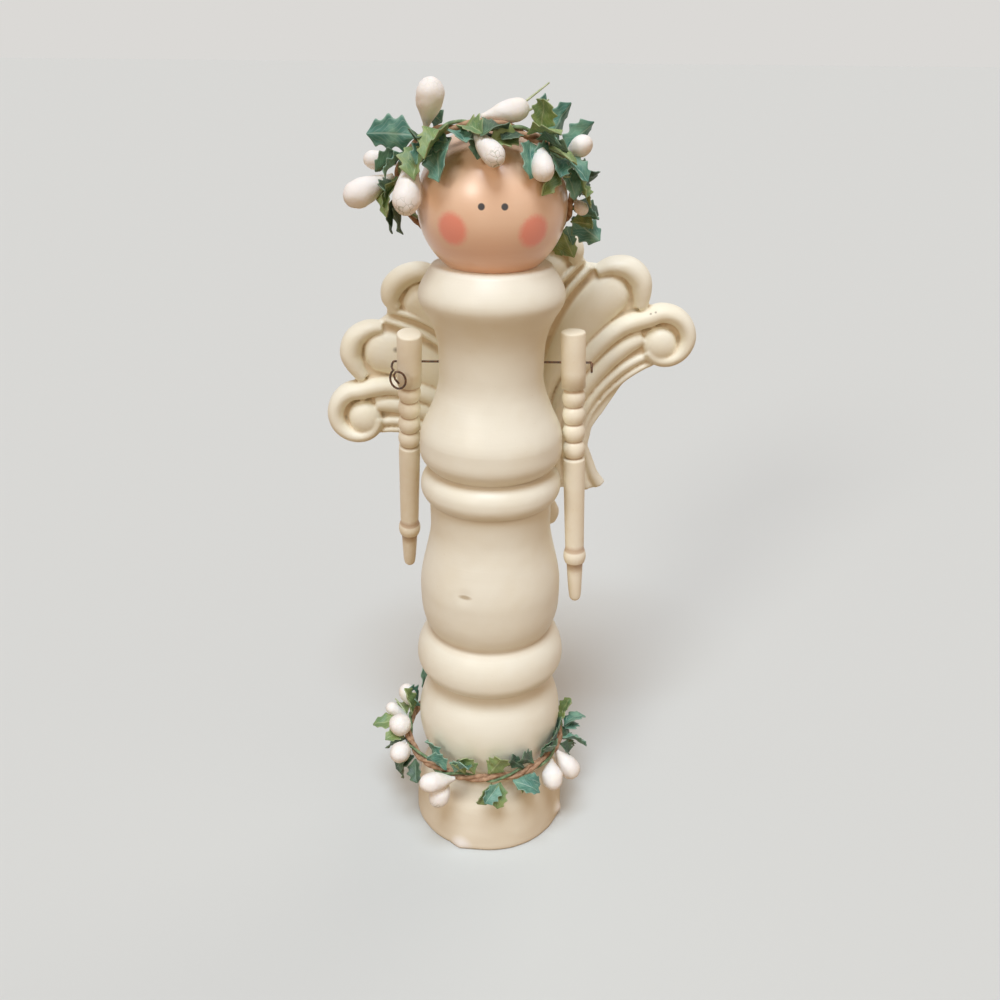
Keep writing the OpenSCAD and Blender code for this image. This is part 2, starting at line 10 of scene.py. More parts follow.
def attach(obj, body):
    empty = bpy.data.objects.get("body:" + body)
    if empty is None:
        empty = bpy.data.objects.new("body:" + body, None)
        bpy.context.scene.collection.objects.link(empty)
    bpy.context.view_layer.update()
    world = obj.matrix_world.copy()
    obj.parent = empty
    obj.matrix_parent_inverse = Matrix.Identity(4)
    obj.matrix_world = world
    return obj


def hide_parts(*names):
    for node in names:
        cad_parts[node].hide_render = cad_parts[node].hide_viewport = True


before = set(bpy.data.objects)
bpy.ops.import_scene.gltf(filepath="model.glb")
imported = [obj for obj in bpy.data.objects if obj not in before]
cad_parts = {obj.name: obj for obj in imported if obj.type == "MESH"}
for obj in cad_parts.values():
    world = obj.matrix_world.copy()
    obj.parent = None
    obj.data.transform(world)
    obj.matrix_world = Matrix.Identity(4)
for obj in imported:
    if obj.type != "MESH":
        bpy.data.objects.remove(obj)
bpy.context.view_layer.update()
mm = 0.001

# Camera and studio. The camera is close, a little above the doll's head, and looks down on it.
# The main soft light comes from high in front, weaker ones from the front left, the front right and behind.
scene = bpy.context.scene
scene.view_settings.view_transform = "Standard"
camera_place = (0, -252 * mm, 231 * mm)
camera_turns = ((-0.61, "Z"), (64.6, "X"), (0.57, "Z"))
lens = bpy.data.cameras.new("camera")
lens.sensor_width = 36
lens.lens = 34.85
camera = bpy.data.objects.new("camera", lens)
aim = Matrix.Translation(camera_place)
for degrees, axis in camera_turns:
    aim = aim @ Matrix.Rotation(math.radians(degrees), 4, axis)
camera.matrix_world = aim
scene.collection.objects.link(camera)
scene.camera = camera


def linear(code):
    """A colour written as sRGB hex, in the linear values that the shaders use."""
    parts = [int(code[i:i + 2], 16) / 255 for i in (1, 3, 5)]
    return [p / 12.92 if p <= 0.04045 else ((p + 0.055) / 1.055) ** 2.4 for p in parts] + [1]


def add(tree, kind, values={}, links={}, out=0, **settings):
    """Adds one node with its settings, input values and input links, and returns one of its outputs."""
    node = tree.nodes.new("ShaderNode" + kind)
    for name, value in settings.items():
        setattr(node, name, value)
    for name, value in values.items():
        node.inputs[name].default_value = value
    for name, socket in links.items():
        tree.links.new(socket, node.inputs[name])
    return node.outputs[out]


# Each lamp: the way to it, its spread in degrees, its strength and its colour.
for name, place, spread, strength, code in (
    ("key_sun", (-0.05, -0.41, 0.91), 26, 2.32, "#e4f0ff"),
    ("left_sun", (-0.50, -0.74, 0.45), 15, 0.6, "#fffcf6"),
    ("right_sun", (0.62, -0.68, 0.40), 70, 0.3, "#fffcf6"),
    ("back_sun", (0.45, 0.62, 0.64), 40, 0.3, "#fff6ea"),
):
    light = bpy.data.lights.new(name, "SUN")
    light.angle = math.radians(spread)
    light.energy = strength
    light.color = linear(code)[:3]
    lamp = bpy.data.objects.new(name, light)
    lamp.rotation_euler = (-Vector(place)).to_track_quat("-Z", "Y").to_euler()
    scene.collection.objects.link(lamp)

# The world fills the shade with a warm light, and the camera and reflections see it as a pale wall.
world = bpy.data.worlds.new("studio")
scene.world = world
world.use_nodes = True
tree = world.node_tree


def seen_directly(tree):
    """1 for rays from the camera, and for those that a mirror or glass sends on."""
    camera_ray, mirror_ray, glass_ray = (
        add(tree, "LightPath", out=f"Is {kind} Ray") for kind in ("Camera", "Glossy", "Transmission")
    )
    seen = add(tree, "Math", links={0: camera_ray, 1: mirror_ray}, operation="MAXIMUM")
    return add(tree, "Math", links={0: seen, 1: glass_ray}, operation="MAXIMUM")


soft = add(tree, "Background", {"Color": linear("#f7c28e"), "Strength": 0.31})
wall = add(tree, "Background", {"Color": linear("#dbd9d6"), "Strength": 1.0})
both = add(tree, "MixShader", links={0: seen_directly(tree), 1: soft, 2: wall})
tree.links.new(both, tree.nodes["World Output"].inputs["Surface"])


def surface(tree, links, values={}):
    """Gives a material's shader its patterned channels, and on its own sockets what is even all over."""
    shader = tree.nodes["Principled BSDF"]
    for name, value in values.items():
        shader.inputs[name].default_value = value
    for name, socket in links.items():
        tree.links.new(socket, shader.inputs[name])


# The floor is pale to the eye and sends only a little light back up, so that the undersides stay in shade.
floor_reach = 12
floor_bounce = linear("#9a7f5c")
floor_seen = linear("#d9dfdd")
bm = bmesh.new()
bmesh.ops.create_grid(bm, x_segments=1, y_segments=1, size=floor_reach)
mesh = bpy.data.meshes.new("floor")
bm.to_mesh(mesh)
bm.free()
floor = bpy.data.objects.new("floor", mesh)
scene.collection.objects.link(floor)
paper = bpy.data.materials.new("floor_paper")
paper.use_nodes = True
tree = paper.node_tree
tint = add(tree, "MixRGB", {"Color1": floor_bounce, "Color2": floor_seen}, {"Fac": seen_directly(tree)})
surface(tree, {"Base Color": tint}, {"Roughness": 0.9, "Specular IOR Level": 0.0})
mesh.materials.append(paper)

# Body: one length of hardwood turned on a lathe into foot, bulb, rings, vase, bell and collar,
# then sanded and sprayed with ivory paint. The foot is chipped at its rim and duller than the rest.
# Each member: the height of its foot, then stations of height above the foot, radius and slope.
body_turning = (
    (0.0, ((1, 23.75, 0), (13, 22.5, -0.18), (20.8, 16.6, -1.6))),
    (20.8, ((0, 16.6, 0.6), (17.5, 22.1, 0), (29, 19.2, -0.55), (32.8, 18.2, 0), (34.3, 18.2, 0))),
    (60.4, ((0, 22.2, 0), (10.2, 18, -1))),
    (70.6, ((0, 18, 0.6), (14.4, 20.7, 0), (34.9, 17.3, 0), (42.4, 17.4, 0.02))),
    (117.0, ((0, 19.85, 0), (5.8, 16.4, -1.5))),
    (122.8, ((0, 16.4, 1.6), (8.6, 19.8, 0), (15.7, 17.4, -0.47), (27.2, 14.2, 0), (43.2, 17.1, 0.6))),
    (166.0, ((0, 17.1, 0.62), (5, 19.4, 0), (12.8, 15.6, -0.6))),
)
# The undersides of the two rings are round: distance from the axis, height, radius and start in degrees,
# each after the member whose foot is named.
ring_undersides = {20.8: (16.7, 60.4, 5.5, -72), 70.6: (15.36, 117.0, 4.49, -62)}


def turned_radius(stations, z):
    """Radius of a turned member at a height, from its stations of height, radius and slope."""
    a, b = next((a, b) for a, b in zip(stations, stations[1:]) if z <= b[0] or b is stations[-1])
    h = b[0] - a[0]
    t = (z - a[0]) / h
    return (
        (2 * t**3 - 3 * t**2 + 1) * a[1] + (t**3 - 2 * t**2 + t) * h * a[2]
        + (3 * t**2 - 2 * t**3) * b[1] + (t**3 - t**2) * h * b[2]
    )


def turn(outline, steps):
    """A closed bmesh from an outline of radius and height in millimetres, turned about the Z axis."""
    bm = bmesh.new()
    row = [bm.verts.new((r * mm, 0, z * mm)) for r, z in outline]
    edges = [bm.edges.new(pair) for pair in zip(row, row[1:])]
    bmesh.ops.spin(
        bm, geom=row + edges, cent=(0, 0, 0), axis=(0, 0, 1), angle=math.tau, steps=steps, use_merge=True
    )
    bmesh.ops.remove_doubles(bm, verts=bm.verts, dist=1e-6)
    bmesh.ops.recalc_face_normals(bm, faces=bm.faces)
    return bm


def show(name, bm, body, slot, material, *nodes):
    """Makes the finished piece: smooth, on its body, for the solids that it stands for. The slot is not used.
    """
    mesh = bpy.data.meshes.new(name)
    for face in bm.faces:
        face.smooth = True
    bm.to_mesh(mesh)
    bm.free()
    mesh.materials.append(material)
    piece = bpy.data.objects.new(name, mesh)
    scene.collection.objects.link(piece)
    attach(piece, body)
    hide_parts(*nodes)
    return piece


def mark_recesses(mesh, steps, reach):
    """Stores as recess how far each point lies under the smoothed surface, in shares of reach."""
    count = len(mesh.vertices)
    points = np.empty(count * 3)
    mesh.vertices.foreach_get("co", points)
    points = points.reshape(-1, 3)
    normals = np.empty(count * 3)
    mesh.vertex_normals.foreach_get("vector", normals)
    ends = np.empty(len(mesh.edges) * 2, np.int64)
    mesh.edges.foreach_get("vertices", ends)
    a, b = ends.reshape(-1, 2).T
    near = np.maximum(np.bincount(ends, minlength=count), 1)
    soft = points.copy()
    for step in range(steps):
        soft = np.stack([
            (np.bincount(a, soft[b, k], count) + np.bincount(b, soft[a, k], count)) / near for k in range(3)
        ], 1)
    depth = ((soft - points) * normals.reshape(-1, 3)).sum(1) / reach
    marks = mesh.attributes.new("recess", "FLOAT", "POINT")
    marks.data.foreach_set("value", np.clip(depth, -1, 1).astype(np.float32))


def every(size):
    """The scale of a pattern that repeats every so many millimetres."""
    return 1 / (size * mm)


def new_finish(name):
    """A new material: itself, its node tree, and the Object coordinates that its patterns lie in."""
    finish = bpy.data.materials.new(name)
    finish.use_nodes = True
    return finish, finish.node_tree, add(finish.node_tree, "TexCoord", out="Object")


def brush_on(tree, coat, code, pattern, start, full, most=1.0, **settings):
    """Lays a colour over a coat: none where a pattern is at start, up to the share most where it is at full.
    The coat is a hex colour or what an earlier call returned."""
    ends = {"From Min": start, "From Max": full, "To Max": most}
    share = add(tree, "MapRange", ends, {"Value": pattern}, **settings)
    if isinstance(coat, str):
        return add(tree, "MixRGB", {"Color1": linear(coat), "Color2": linear(code)}, {"Fac": share})
    return add(tree, "MixRGB", {"Color2": linear(code)}, {"Fac": share, "Color1": coat})


# Sprayed ivory lacquer on sanded wood: a satin skin with faint lathe rings, warm brown painted shade in the
# notches and a drier coat on the foot. The coat clouds over about 18 mm, its grit is drawn 0.7 mm wide,
# coarser than it is, so that it shows, and the lathe left a ring every 1.1 mm.
ivory_paint, tree, place = new_finish("ivory_sprayed_paint")
recess = add(tree, "Attribute", out="Fac", attribute_name="recess")
height = add(tree, "SeparateXYZ", links={0: place}, out="Z")
cloud = add(tree, "TexNoise", {"Scale": every(18), "Detail": 3, "Roughness": 0.6}, {"Vector": place})
speck = add(tree, "TexNoise", {"Scale": every(0.7), "Detail": 2, "Roughness": 0.7}, {"Vector": place})
stretched = add(tree, "Mapping", {"Scale": (every(40), every(40), every(1.1))}, {"Vector": place})
rings = add(tree, "TexNoise", {"Scale": 1, "Detail": 3, "Roughness": 0.6}, {"Vector": stretched})
foot = add(tree, "MapRange", {"From Min": 21 * mm, "From Max": 17 * mm}, {"Value": height})
dull = add(tree, "Math", {1: 0.85}, {0: foot}, operation="MULTIPLY")
coat = add(tree, "MixRGB", {"Color1": linear("#f8f6e5"), "Color2": linear("#f4ecd6")}, {"Fac": dull})
coat = brush_on(tree, coat, "#efe6ca", cloud, 0.45, 0.75, 0.35)
# Warm brown painted shade where the surface lies in a notch.
coat = brush_on(tree, coat, "#c6a67c", recess, 0.1, 1.0, 0.34)
coat = brush_on(tree, coat, "#cdb894", speck, 0.70, 0.78, 0.30)
# Two pale chips at the foot's rim and a darker brown mark on the dent: centre, reach, flatness, colour and
# how much of it.
for centre, reach, flat, code, most in (
    ((23.6, -8.6, 4.0), 3.4, 1, "#fbf8f0", 1.0),
    ((-9.0, -22.6, 0.9), 4.0, 1, "#fbf8f0", 1.0),
    ((-7.3, -19.2, 89.9), 2.2, 3, "#ab9164", 0.65),
):
    away = add(tree, "VectorMath", {1: Vector(centre) * mm}, {0: place}, operation="SUBTRACT")
    away = add(tree, "VectorMath", {1: (1, 1, flat)}, {0: away}, operation="MULTIPLY")
    away = add(tree, "VectorMath", links={0: away}, out="Value", operation="LENGTH")
    away = add(tree, "Math", {1: 1.5 * mm}, {0: cloud, 2: away}, operation="MULTIPLY_ADD")
    coat = brush_on(tree, coat, code, away, (reach + 0.9) * mm, (reach * 0.5 + 0.7) * mm, most)
shine = add(
    tree, "MapRange", {"From Min": 0.3, "From Max": 0.7, "To Min": 0.34, "To Max": 0.48}, {"Value": cloud}
)
shine = add(tree, "Math", {1: 0.25}, {0: foot, 2: shine}, operation="MULTIPLY_ADD")
skin = add(tree, "Math", {1: 0.35}, {0: speck, 2: rings}, operation="MULTIPLY_ADD")
grain = add(tree, "Bump", {"Strength": 0.16, "Distance": 0.2 * mm}, {"Height": skin})
surface(tree, {"Base Color": coat, "Roughness": shine, "Normal": grain}, {"IOR": 1.48})

# The outline starts with the sanded rim under the foot, and has a row about every 0.9 mm.
collar_top = 178.8
row_gap = 0.9
bead_rows = 18
outline = [(0, 0), (22.75, 0), (23.2, 0.13), (23.6, 0.5)]
for member_foot, stations in body_turning:
    low, high = stations[0][0], stations[-1][0]
    rows = max(12, round((high - low) / row_gap))
    for i in range(0 if member_foot == 0 else 1, rows + 1):
        z = low + (high - low) * i / rows
        outline.append((turned_radius(stations, z), member_foot + z))
    if member_foot in ring_undersides:
        across, level, bead, start = ring_undersides[member_foot]
        for i in range(bead_rows + 1):
            a = math.radians(start * (1 - i / bead_rows))
            outline.append((across + bead * math.cos(a), level + bead * math.sin(a)))
outline += [(0, collar_top)]
bm = turn(outline, steps=192)
# Three lumps of chipped paint on the foot's rim: centre, reach and swell. The dent is on the vase.
chips = (
    (Vector((22.5, -8.3, 4.0)), 3.4, 1.7),
    (Vector((-9.0, -22.3, 0.9)), 4.4, 1.1),
    (Vector((21, 10, 1)), 4, 0.5),
)
foot_height = 16
dent, dent_reach, dent_depth = Vector((-7.28, -19.16, 89.8)), 2.8, 0.34
for v in bm.verts:
    p = v.co / mm
    out = Vector((p.x, p.y, 0))
    if out.length < 1:
        continue
    out.normalize()
    push = 0.10 * noise.noise(p / 9) + 0.05 * noise.noise(p / 3.2)
    push -= dent_depth * max(0, 1 - (p - dent).length / dent_reach)
    if p.z < foot_height:
        push += 0.16 * noise.noise(p / 4.5)
        for centre, reach, swell in chips:
            push += swell * max(0, 1 - (p - centre).length / reach) ** 1.4
        push = min(push, 1.5)
    v.co += out * push * mm
body = show("painted_body", bm, "doll", "body_paint", ivory_paint, "body_spindle")
mark_recesses(body.data, steps=26, reach=0.9 * mm)

# Head: a wooden ball knob with a flat underside, pinned to the body. It is painted flesh colour, darker
# towards the chin as painted shade, with two stippled rosy cheeks and two small eye dots, under a satin
# varnish.
# The flesh colour clouds over 14 mm, its stipple is drawn 0.7 mm wide and the brush lines 0.9 mm apart.
head_z = 193.8
head_r = 19.0
head_rows = 90
flat_angle = math.asin((collar_top - head_z) / head_r)
outline = [(0, collar_top)]
for i in range(head_rows):
    a = flat_angle + (math.pi / 2 - flat_angle) * i / head_rows
    outline.append((head_r * math.cos(a), head_z + head_r * math.sin(a)))
outline += [(0, head_z + head_r)]
bm = turn(outline, steps=180)
flesh_paint, tree, place = new_finish("flesh_paint_varnished")
cloud = add(tree, "TexNoise", {"Scale": every(14), "Detail": 3}, {"Vector": place})
speck = add(tree, "TexNoise", {"Scale": every(0.7), "Detail": 2, "Roughness": 0.7}, {"Vector": place})
stretched = add(tree, "Mapping", {"Scale": (every(17), every(17), every(0.9))}, {"Vector": place})
strokes = add(tree, "TexNoise", {"Scale": 1, "Detail": 3, "Roughness": 0.6}, {"Vector": stretched})
height = add(tree, "SeparateXYZ", links={0: place}, out="Z")
# Darker towards the chin: painted shade on the lower face.
coat = brush_on(tree, "#ffd8b5", "#dd9b72", height, 192 * mm, 180 * mm, 0.75)
coat = brush_on(tree, coat, "#f3bb90", cloud, 0.4, 0.7, 0.30)
coat = brush_on(tree, coat, "#fad5b3", strokes, 0.35, 0.65, 0.16)
for cheek in ((-9.7, -15.92, 190.2), (10.1, -15.53, 189.7)):
    away = add(tree, "VectorMath", {1: Vector(cheek) * mm}, {0: place}, out="Value", operation="DISTANCE")
    rough = add(tree, "Math", {1: 1.1 * mm, 2: -0.55 * mm}, {0: speck}, operation="MULTIPLY_ADD")
    ragged = add(tree, "Math", links={0: away, 1: rough}, operation="ADD")
    coat = brush_on(
        tree, coat, "#ff886e", ragged, 5.0 * mm, 2.8 * mm, 0.80, interpolation_type="SMOOTHSTEP"
    )
for eye in ((-2.55, -18.71, 195.9), (2.93, -18.66, 195.9)):
    away = add(tree, "VectorMath", {1: Vector(eye) * mm}, {0: place}, out="Value", operation="DISTANCE")
    coat = brush_on(tree, coat, "#1f0f08", away, 0.94 * mm, 0.70 * mm)
shine = add(
    tree, "MapRange", {"From Min": 0.3, "From Max": 0.7, "To Min": 0.28, "To Max": 0.38}, {"Value": cloud}
)
grain = add(tree, "Bump", {"Strength": 0.10, "Distance": 0.2 * mm}, {"Height": strokes})
surface(
    tree, {"Base Color": coat, "Roughness": shine, "Normal": grain},
    {"IOR": 1.5, "Specular IOR Level": 0.75, "Coat Weight": 1.0, "Coat Roughness": 0.32},
)
for v in bm.verts:
    p = v.co / mm
    if p.z > collar_top + 0.2:
        v.co += (p - Vector((0, 0, head_z))).normalized() * 0.07 * noise.noise(p / 8) * mm
show("ball_head", bm, "doll", "head_paint", flesh_paint, "head_ball")

# Neck dowel: a short peg of bare hardwood that pins the head, hidden in both holes.
# Straight pale grain runs along it, its fibres drawn 1.1 mm wide and 33 mm long.
bare_wood, tree, place = new_finish("bare_birch")
stretched = add(tree, "Mapping", {"Scale": (every(1.1), every(1.1), every(33))}, {"Vector": place})
fibre = add(tree, "TexNoise", {"Scale": 1, "Detail": 4}, {"Vector": stretched})
tint = add(tree, "MixRGB", {"Color1": linear("#e0c497"), "Color2": linear("#c29a66")}, {"Fac": fibre})
surface(tree, {"Base Color": tint}, {"Roughness": 0.7})
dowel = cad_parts["neck_dowel"]
dowel.data.materials.clear()
dowel.data.materials.append(bare_wood)

# Arms: two small turned spindles with a plain shoulder, four beads, a long taper, a ring and a tip.
# They are painted cream, with brown painted shade in the grooves, and hang on the wire through their
# shoulders.
# The thin coat clouds over 8 mm, its grit is drawn 0.6 mm wide, and fibres of 1.2 by 22 mm show through.
wire_z = 152.6
arm_x = 22.15
arm_lean = 2.7
left_swing = 14.0
arm_hole = 8.6
arm_r = 3.35
cream_paint, tree, place = new_finish("cream_brushed_paint")
recess = add(tree, "Attribute", out="Fac", attribute_name="recess")
cloud = add(tree, "TexNoise", {"Scale": every(8), "Detail": 3, "Roughness": 0.6}, {"Vector": place})
speck = add(tree, "TexNoise", {"Scale": every(0.6), "Detail": 2, "Roughness": 0.7}, {"Vector": place})
stretched = add(tree, "Mapping", {"Scale": (every(1.2), every(1.2), every(22))}, {"Vector": place})
fibre = add(tree, "TexNoise", {"Scale": 1, "Detail": 3}, {"Vector": stretched})
coat = brush_on(tree, "#fcf6e1", "#f3e6c6", cloud, 0.4, 0.72, 0.45)
# Brown painted shade in the grooves.
coat = brush_on(tree, coat, "#b48a60", recess, 0.1, 0.9, 0.6)
coat = brush_on(tree, coat, "#c9a77c", speck, 0.68, 0.78, 0.35)
shine = add(
    tree, "MapRange", {"From Min": 0.3, "From Max": 0.7, "To Min": 0.38, "To Max": 0.54}, {"Value": cloud}
)
grain = add(tree, "Bump", {"Strength": 0.18, "Distance": 0.2 * mm}, {"Height": fibre})
surface(tree, {"Base Color": coat, "Roughness": shine, "Normal": grain}, {"IOR": 1.48})
# The outline runs down from the top: shoulder, beads, taper, ring, tip. A bead and the ring have equal rows.
arm_rows = 14
beads, bead_top, bead_length, groove_r = 4, -15.9, 5.1, 2.25
ring_top, ring_length, wrist_r = -65.4, 4.8, 2.75
tip_top, tip_r, tip_rows = -81.6, 1.7, 8
arm_outline = [(0, 0), (2.85, 0), (3.1, -0.1), (3.27, -0.27)]
arm_outline += [(arm_r, -0.55), (arm_r, -6), (3.34, -11), (3.3, -15.6)]
for bead in range(beads):
    for i in range(arm_rows + 1):
        swell = 0.9 * math.sin(math.pi * i / arm_rows) ** 0.7
        arm_outline.append((groove_r + swell, bead_top - bead_length * (bead + i / arm_rows)))
arm_outline += [(3.0, -36.6), (3.05, -37.2), (3.04, -40), (2.98, -46)]
arm_outline += [(2.9, -52), (2.82, -58), (2.75, -63.5), (2.72, -65.2)]
for i in range(1, arm_rows):
    swell = 0.55 * math.sin(math.pi * i / arm_rows)
    arm_outline.append((wrist_r + swell, ring_top - ring_length * i / arm_rows))
arm_outline += [(2.4, -70.2), (2.28, -73), (2.1, -76.5), (1.9, -80), (1.72, tip_top)]
for i in range(1, tip_rows):
    a = math.pi / 2 * i / tip_rows
    arm_outline.append((tip_r * math.cos(a), tip_top - tip_r * math.sin(a)))
arm_outline += [(0, tip_top - tip_r)]
for name, side, swing, body_name, node in (
    ("left_arm_spindle", -1, left_swing, "left_arm_on_wire", "left_arm"),
    ("right_arm_spindle", 1, 0, "right_arm", "right_arm"),
):
    bm = turn(arm_outline, steps=72)
    for v in bm.verts:
        p = v.co / mm
        out = Vector((p.x, p.y, 0))
        if out.length > 0.5:
            v.co += out.normalized() * 0.05 * noise.noise(p / 3 + Vector((9 * side, 0, 0))) * mm
    hang = (
        Matrix.Translation((side * arm_x * mm, 0, wire_z * mm))
        @ Matrix.Rotation(math.radians(swing), 4, "X")
        @ Matrix.Rotation(math.radians(-side * arm_lean), 4, "Y")
        @ Matrix.Translation((0, 0, arm_hole * mm))
    )
    bmesh.ops.transform(bm, matrix=hang, verts=bm.verts)
    arm = show(name, bm, body_name, "arm_paint", cream_paint, node)
    mark_recesses(arm.data, steps=10, reach=0.30 * mm)

# Shoulder wire: one length of soft dark iron wire through both arms and the body.
# Its left end is bent forward into an open loop with a tail, its right end into a small eye.
# Rust covers the bare iron in spots of about 1.1 mm.
wire_thick = 0.6
arm_out = arm_x + arm_r
stub = 0.9
eye_r = 1.3
bends = 24
loop = [(0.5, 0, 0), (0.9, -0.2, 0), (1.2, -1.2, -0.1), (1.2, -2.6, -0.2), (0.9, -3.6, -0.25)]
loop += [
    (2.1 * math.cos(a) - 0.5, -4.0 - 1.6 * i / bends, 2.9 * math.sin(a) - 2.8)
    for i, a in ((i, math.radians(60 - 340 * i / bends)) for i in range(bends + 1))
]
loop += [(0.4, -5.9, -0.7), (0.1, -6.0, -1.9), (-0.8, -6.0, -3.3)]
turned = Matrix.Translation((-arm_out, 0, wire_z)) @ Matrix.Rotation(math.radians(left_swing), 4, "X")
route = [turned @ Vector((-x, y, z)) for x, y, z in reversed(loop)]
route += [Vector((x, 0, wire_z)) for x in (-20, -10, 0, 10, 20)]
route += [Vector((arm_out + stub, 0, wire_z)), Vector((arm_out + stub + 0.2, 0, wire_z))]
route += [
    Vector((arm_out + stub + 0.5 + 0.5 * i / bends, -eye_r * math.cos(a), wire_z + eye_r * (math.sin(a) - 1)))
    for i, a in ((i, math.radians(90 - 300 * i / bends)) for i in range(bends + 1))
]


def tube(bm, points, thickness, closed, slot):
    """A round strand along points in millimetres, added to bm: a ring at each point, bridged to the next.
    The attributes along, in millimetres, and around, from 0 to 1, say where on the strand a point lies."""
    along = bm.verts.layers.float.get("along") or bm.verts.layers.float.new("along")
    around = bm.verts.layers.float.get("around") or bm.verts.layers.float.new("around")
    side, corners = Vector((0.31, 0.52, 0.79)), 12
    loops, done, count = [], 0, len(points)
    for i, p in enumerate(points):
        before = points[i - 1] if closed or i else p
        after = points[(i + 1) % count] if closed or i + 1 < count else p
        ahead = (after - before).normalized()
        side = (side - ahead * side.dot(ahead)).normalized()
        ring = Matrix((side, ahead.cross(side), ahead)).transposed().to_4x4()
        ring.translation = p * mm
        radius = thickness[i] / 2 * mm
        made = bmesh.ops.create_circle(bm, segments=corners, radius=radius, matrix=ring)["verts"]
        for k, v in enumerate(made):
            v[along], v[around] = done, k / corners
        done += (after - p).length
        loops.append(list({e for v in made for e in v.link_edges}))
    pairs = list(zip(loops, loops[1:])) + ([(loops[-1], loops[0])] if closed else [])
    faces = []
    for a, b in pairs:
        faces += bmesh.ops.bridge_loops(bm, edges=a + b)["faces"]
    if not closed:
        for end in (loops[0], loops[-1]):
            faces += bmesh.ops.contextual_create(bm, geom=end)["faces"]
    for face in faces:
        face.material_index = slot


bm = bmesh.new()
tube(bm, route, [wire_thick] * len(route), closed=False, slot=0)
bmesh.ops.recalc_face_normals(bm, faces=bm.faces)
rusty_iron, tree, place = new_finish("rusty_annealed_iron")
rust = add(tree, "TexNoise", {"Scale": every(1.1), "Detail": 4, "Roughness": 0.65}, {"Vector": place})
blotch = add(tree, "MapRange", {"From Min": 0.45, "From Max": 0.62}, {"Value": rust})
tint = add(tree, "MixRGB", {"Color1": linear("#54443a"), "Color2": linear("#8a6244")}, {"Fac": blotch})
metal = add(tree, "MapRange", {"To Min": 0.6, "To Max": 0.1}, {"Value": blotch})
rough = add(tree, "MapRange", {"To Min": 0.38, "To Max": 0.8}, {"Value": blotch})
pits = add(tree, "Bump", {"Strength": 0.4, "Distance": 0.1 * mm}, {"Height": rust})
surface(tree, {"Base Color": tint, "Metallic": metal, "Roughness": rough, "Normal": pits})
show("bent_wire", bm, "left_arm_on_wire", "rusty_wire", rusty_iron, "shoulder_wire")

# Wing plaque: one pressed-wood ornament of fanned feathers, hooded curls, thin rays, scrolls and edge bands,
# glued behind the shoulders a little askew. It has aged ivory paint, with tan painted shade and grey dirt in
# its recesses.
# Each feather is a row of places: across, up, half its width and height above the back, all in millimetres.
wing_voxel = 0.44
web_thick = 2.2
wing_place = (
    Matrix.Translation((5.5, 24.35, 140.2))
    @ Matrix.Rotation(math.radians(-15), 4, "Y")
    @ Matrix.Rotation(math.radians(90), 4, "X")
)
centre_feather = (
    (0, -49.4, 2.4, 2.8), (0, -46, 4.4, 3.6), (0, -40, 3.4, 3.6), (0, -28, 1.6, 3.4), (0, -8, 1.6, 3.8),
    (0, 10, 2.4, 4.2), (0, 25, 3.8, 4.8), (0, 34, 3.4, 4.8), (0, 37.6, 1.4, 3),
)
centre_curl = (
    (-8.6, 35, 1.4, 4.4), (-6.6, 40.2, 2, 5.4), (0, 42.8, 2.3, 5.8), (6.6, 40.2, 2, 5.4),
    (8.6, 35, 1.4, 4.4),
)
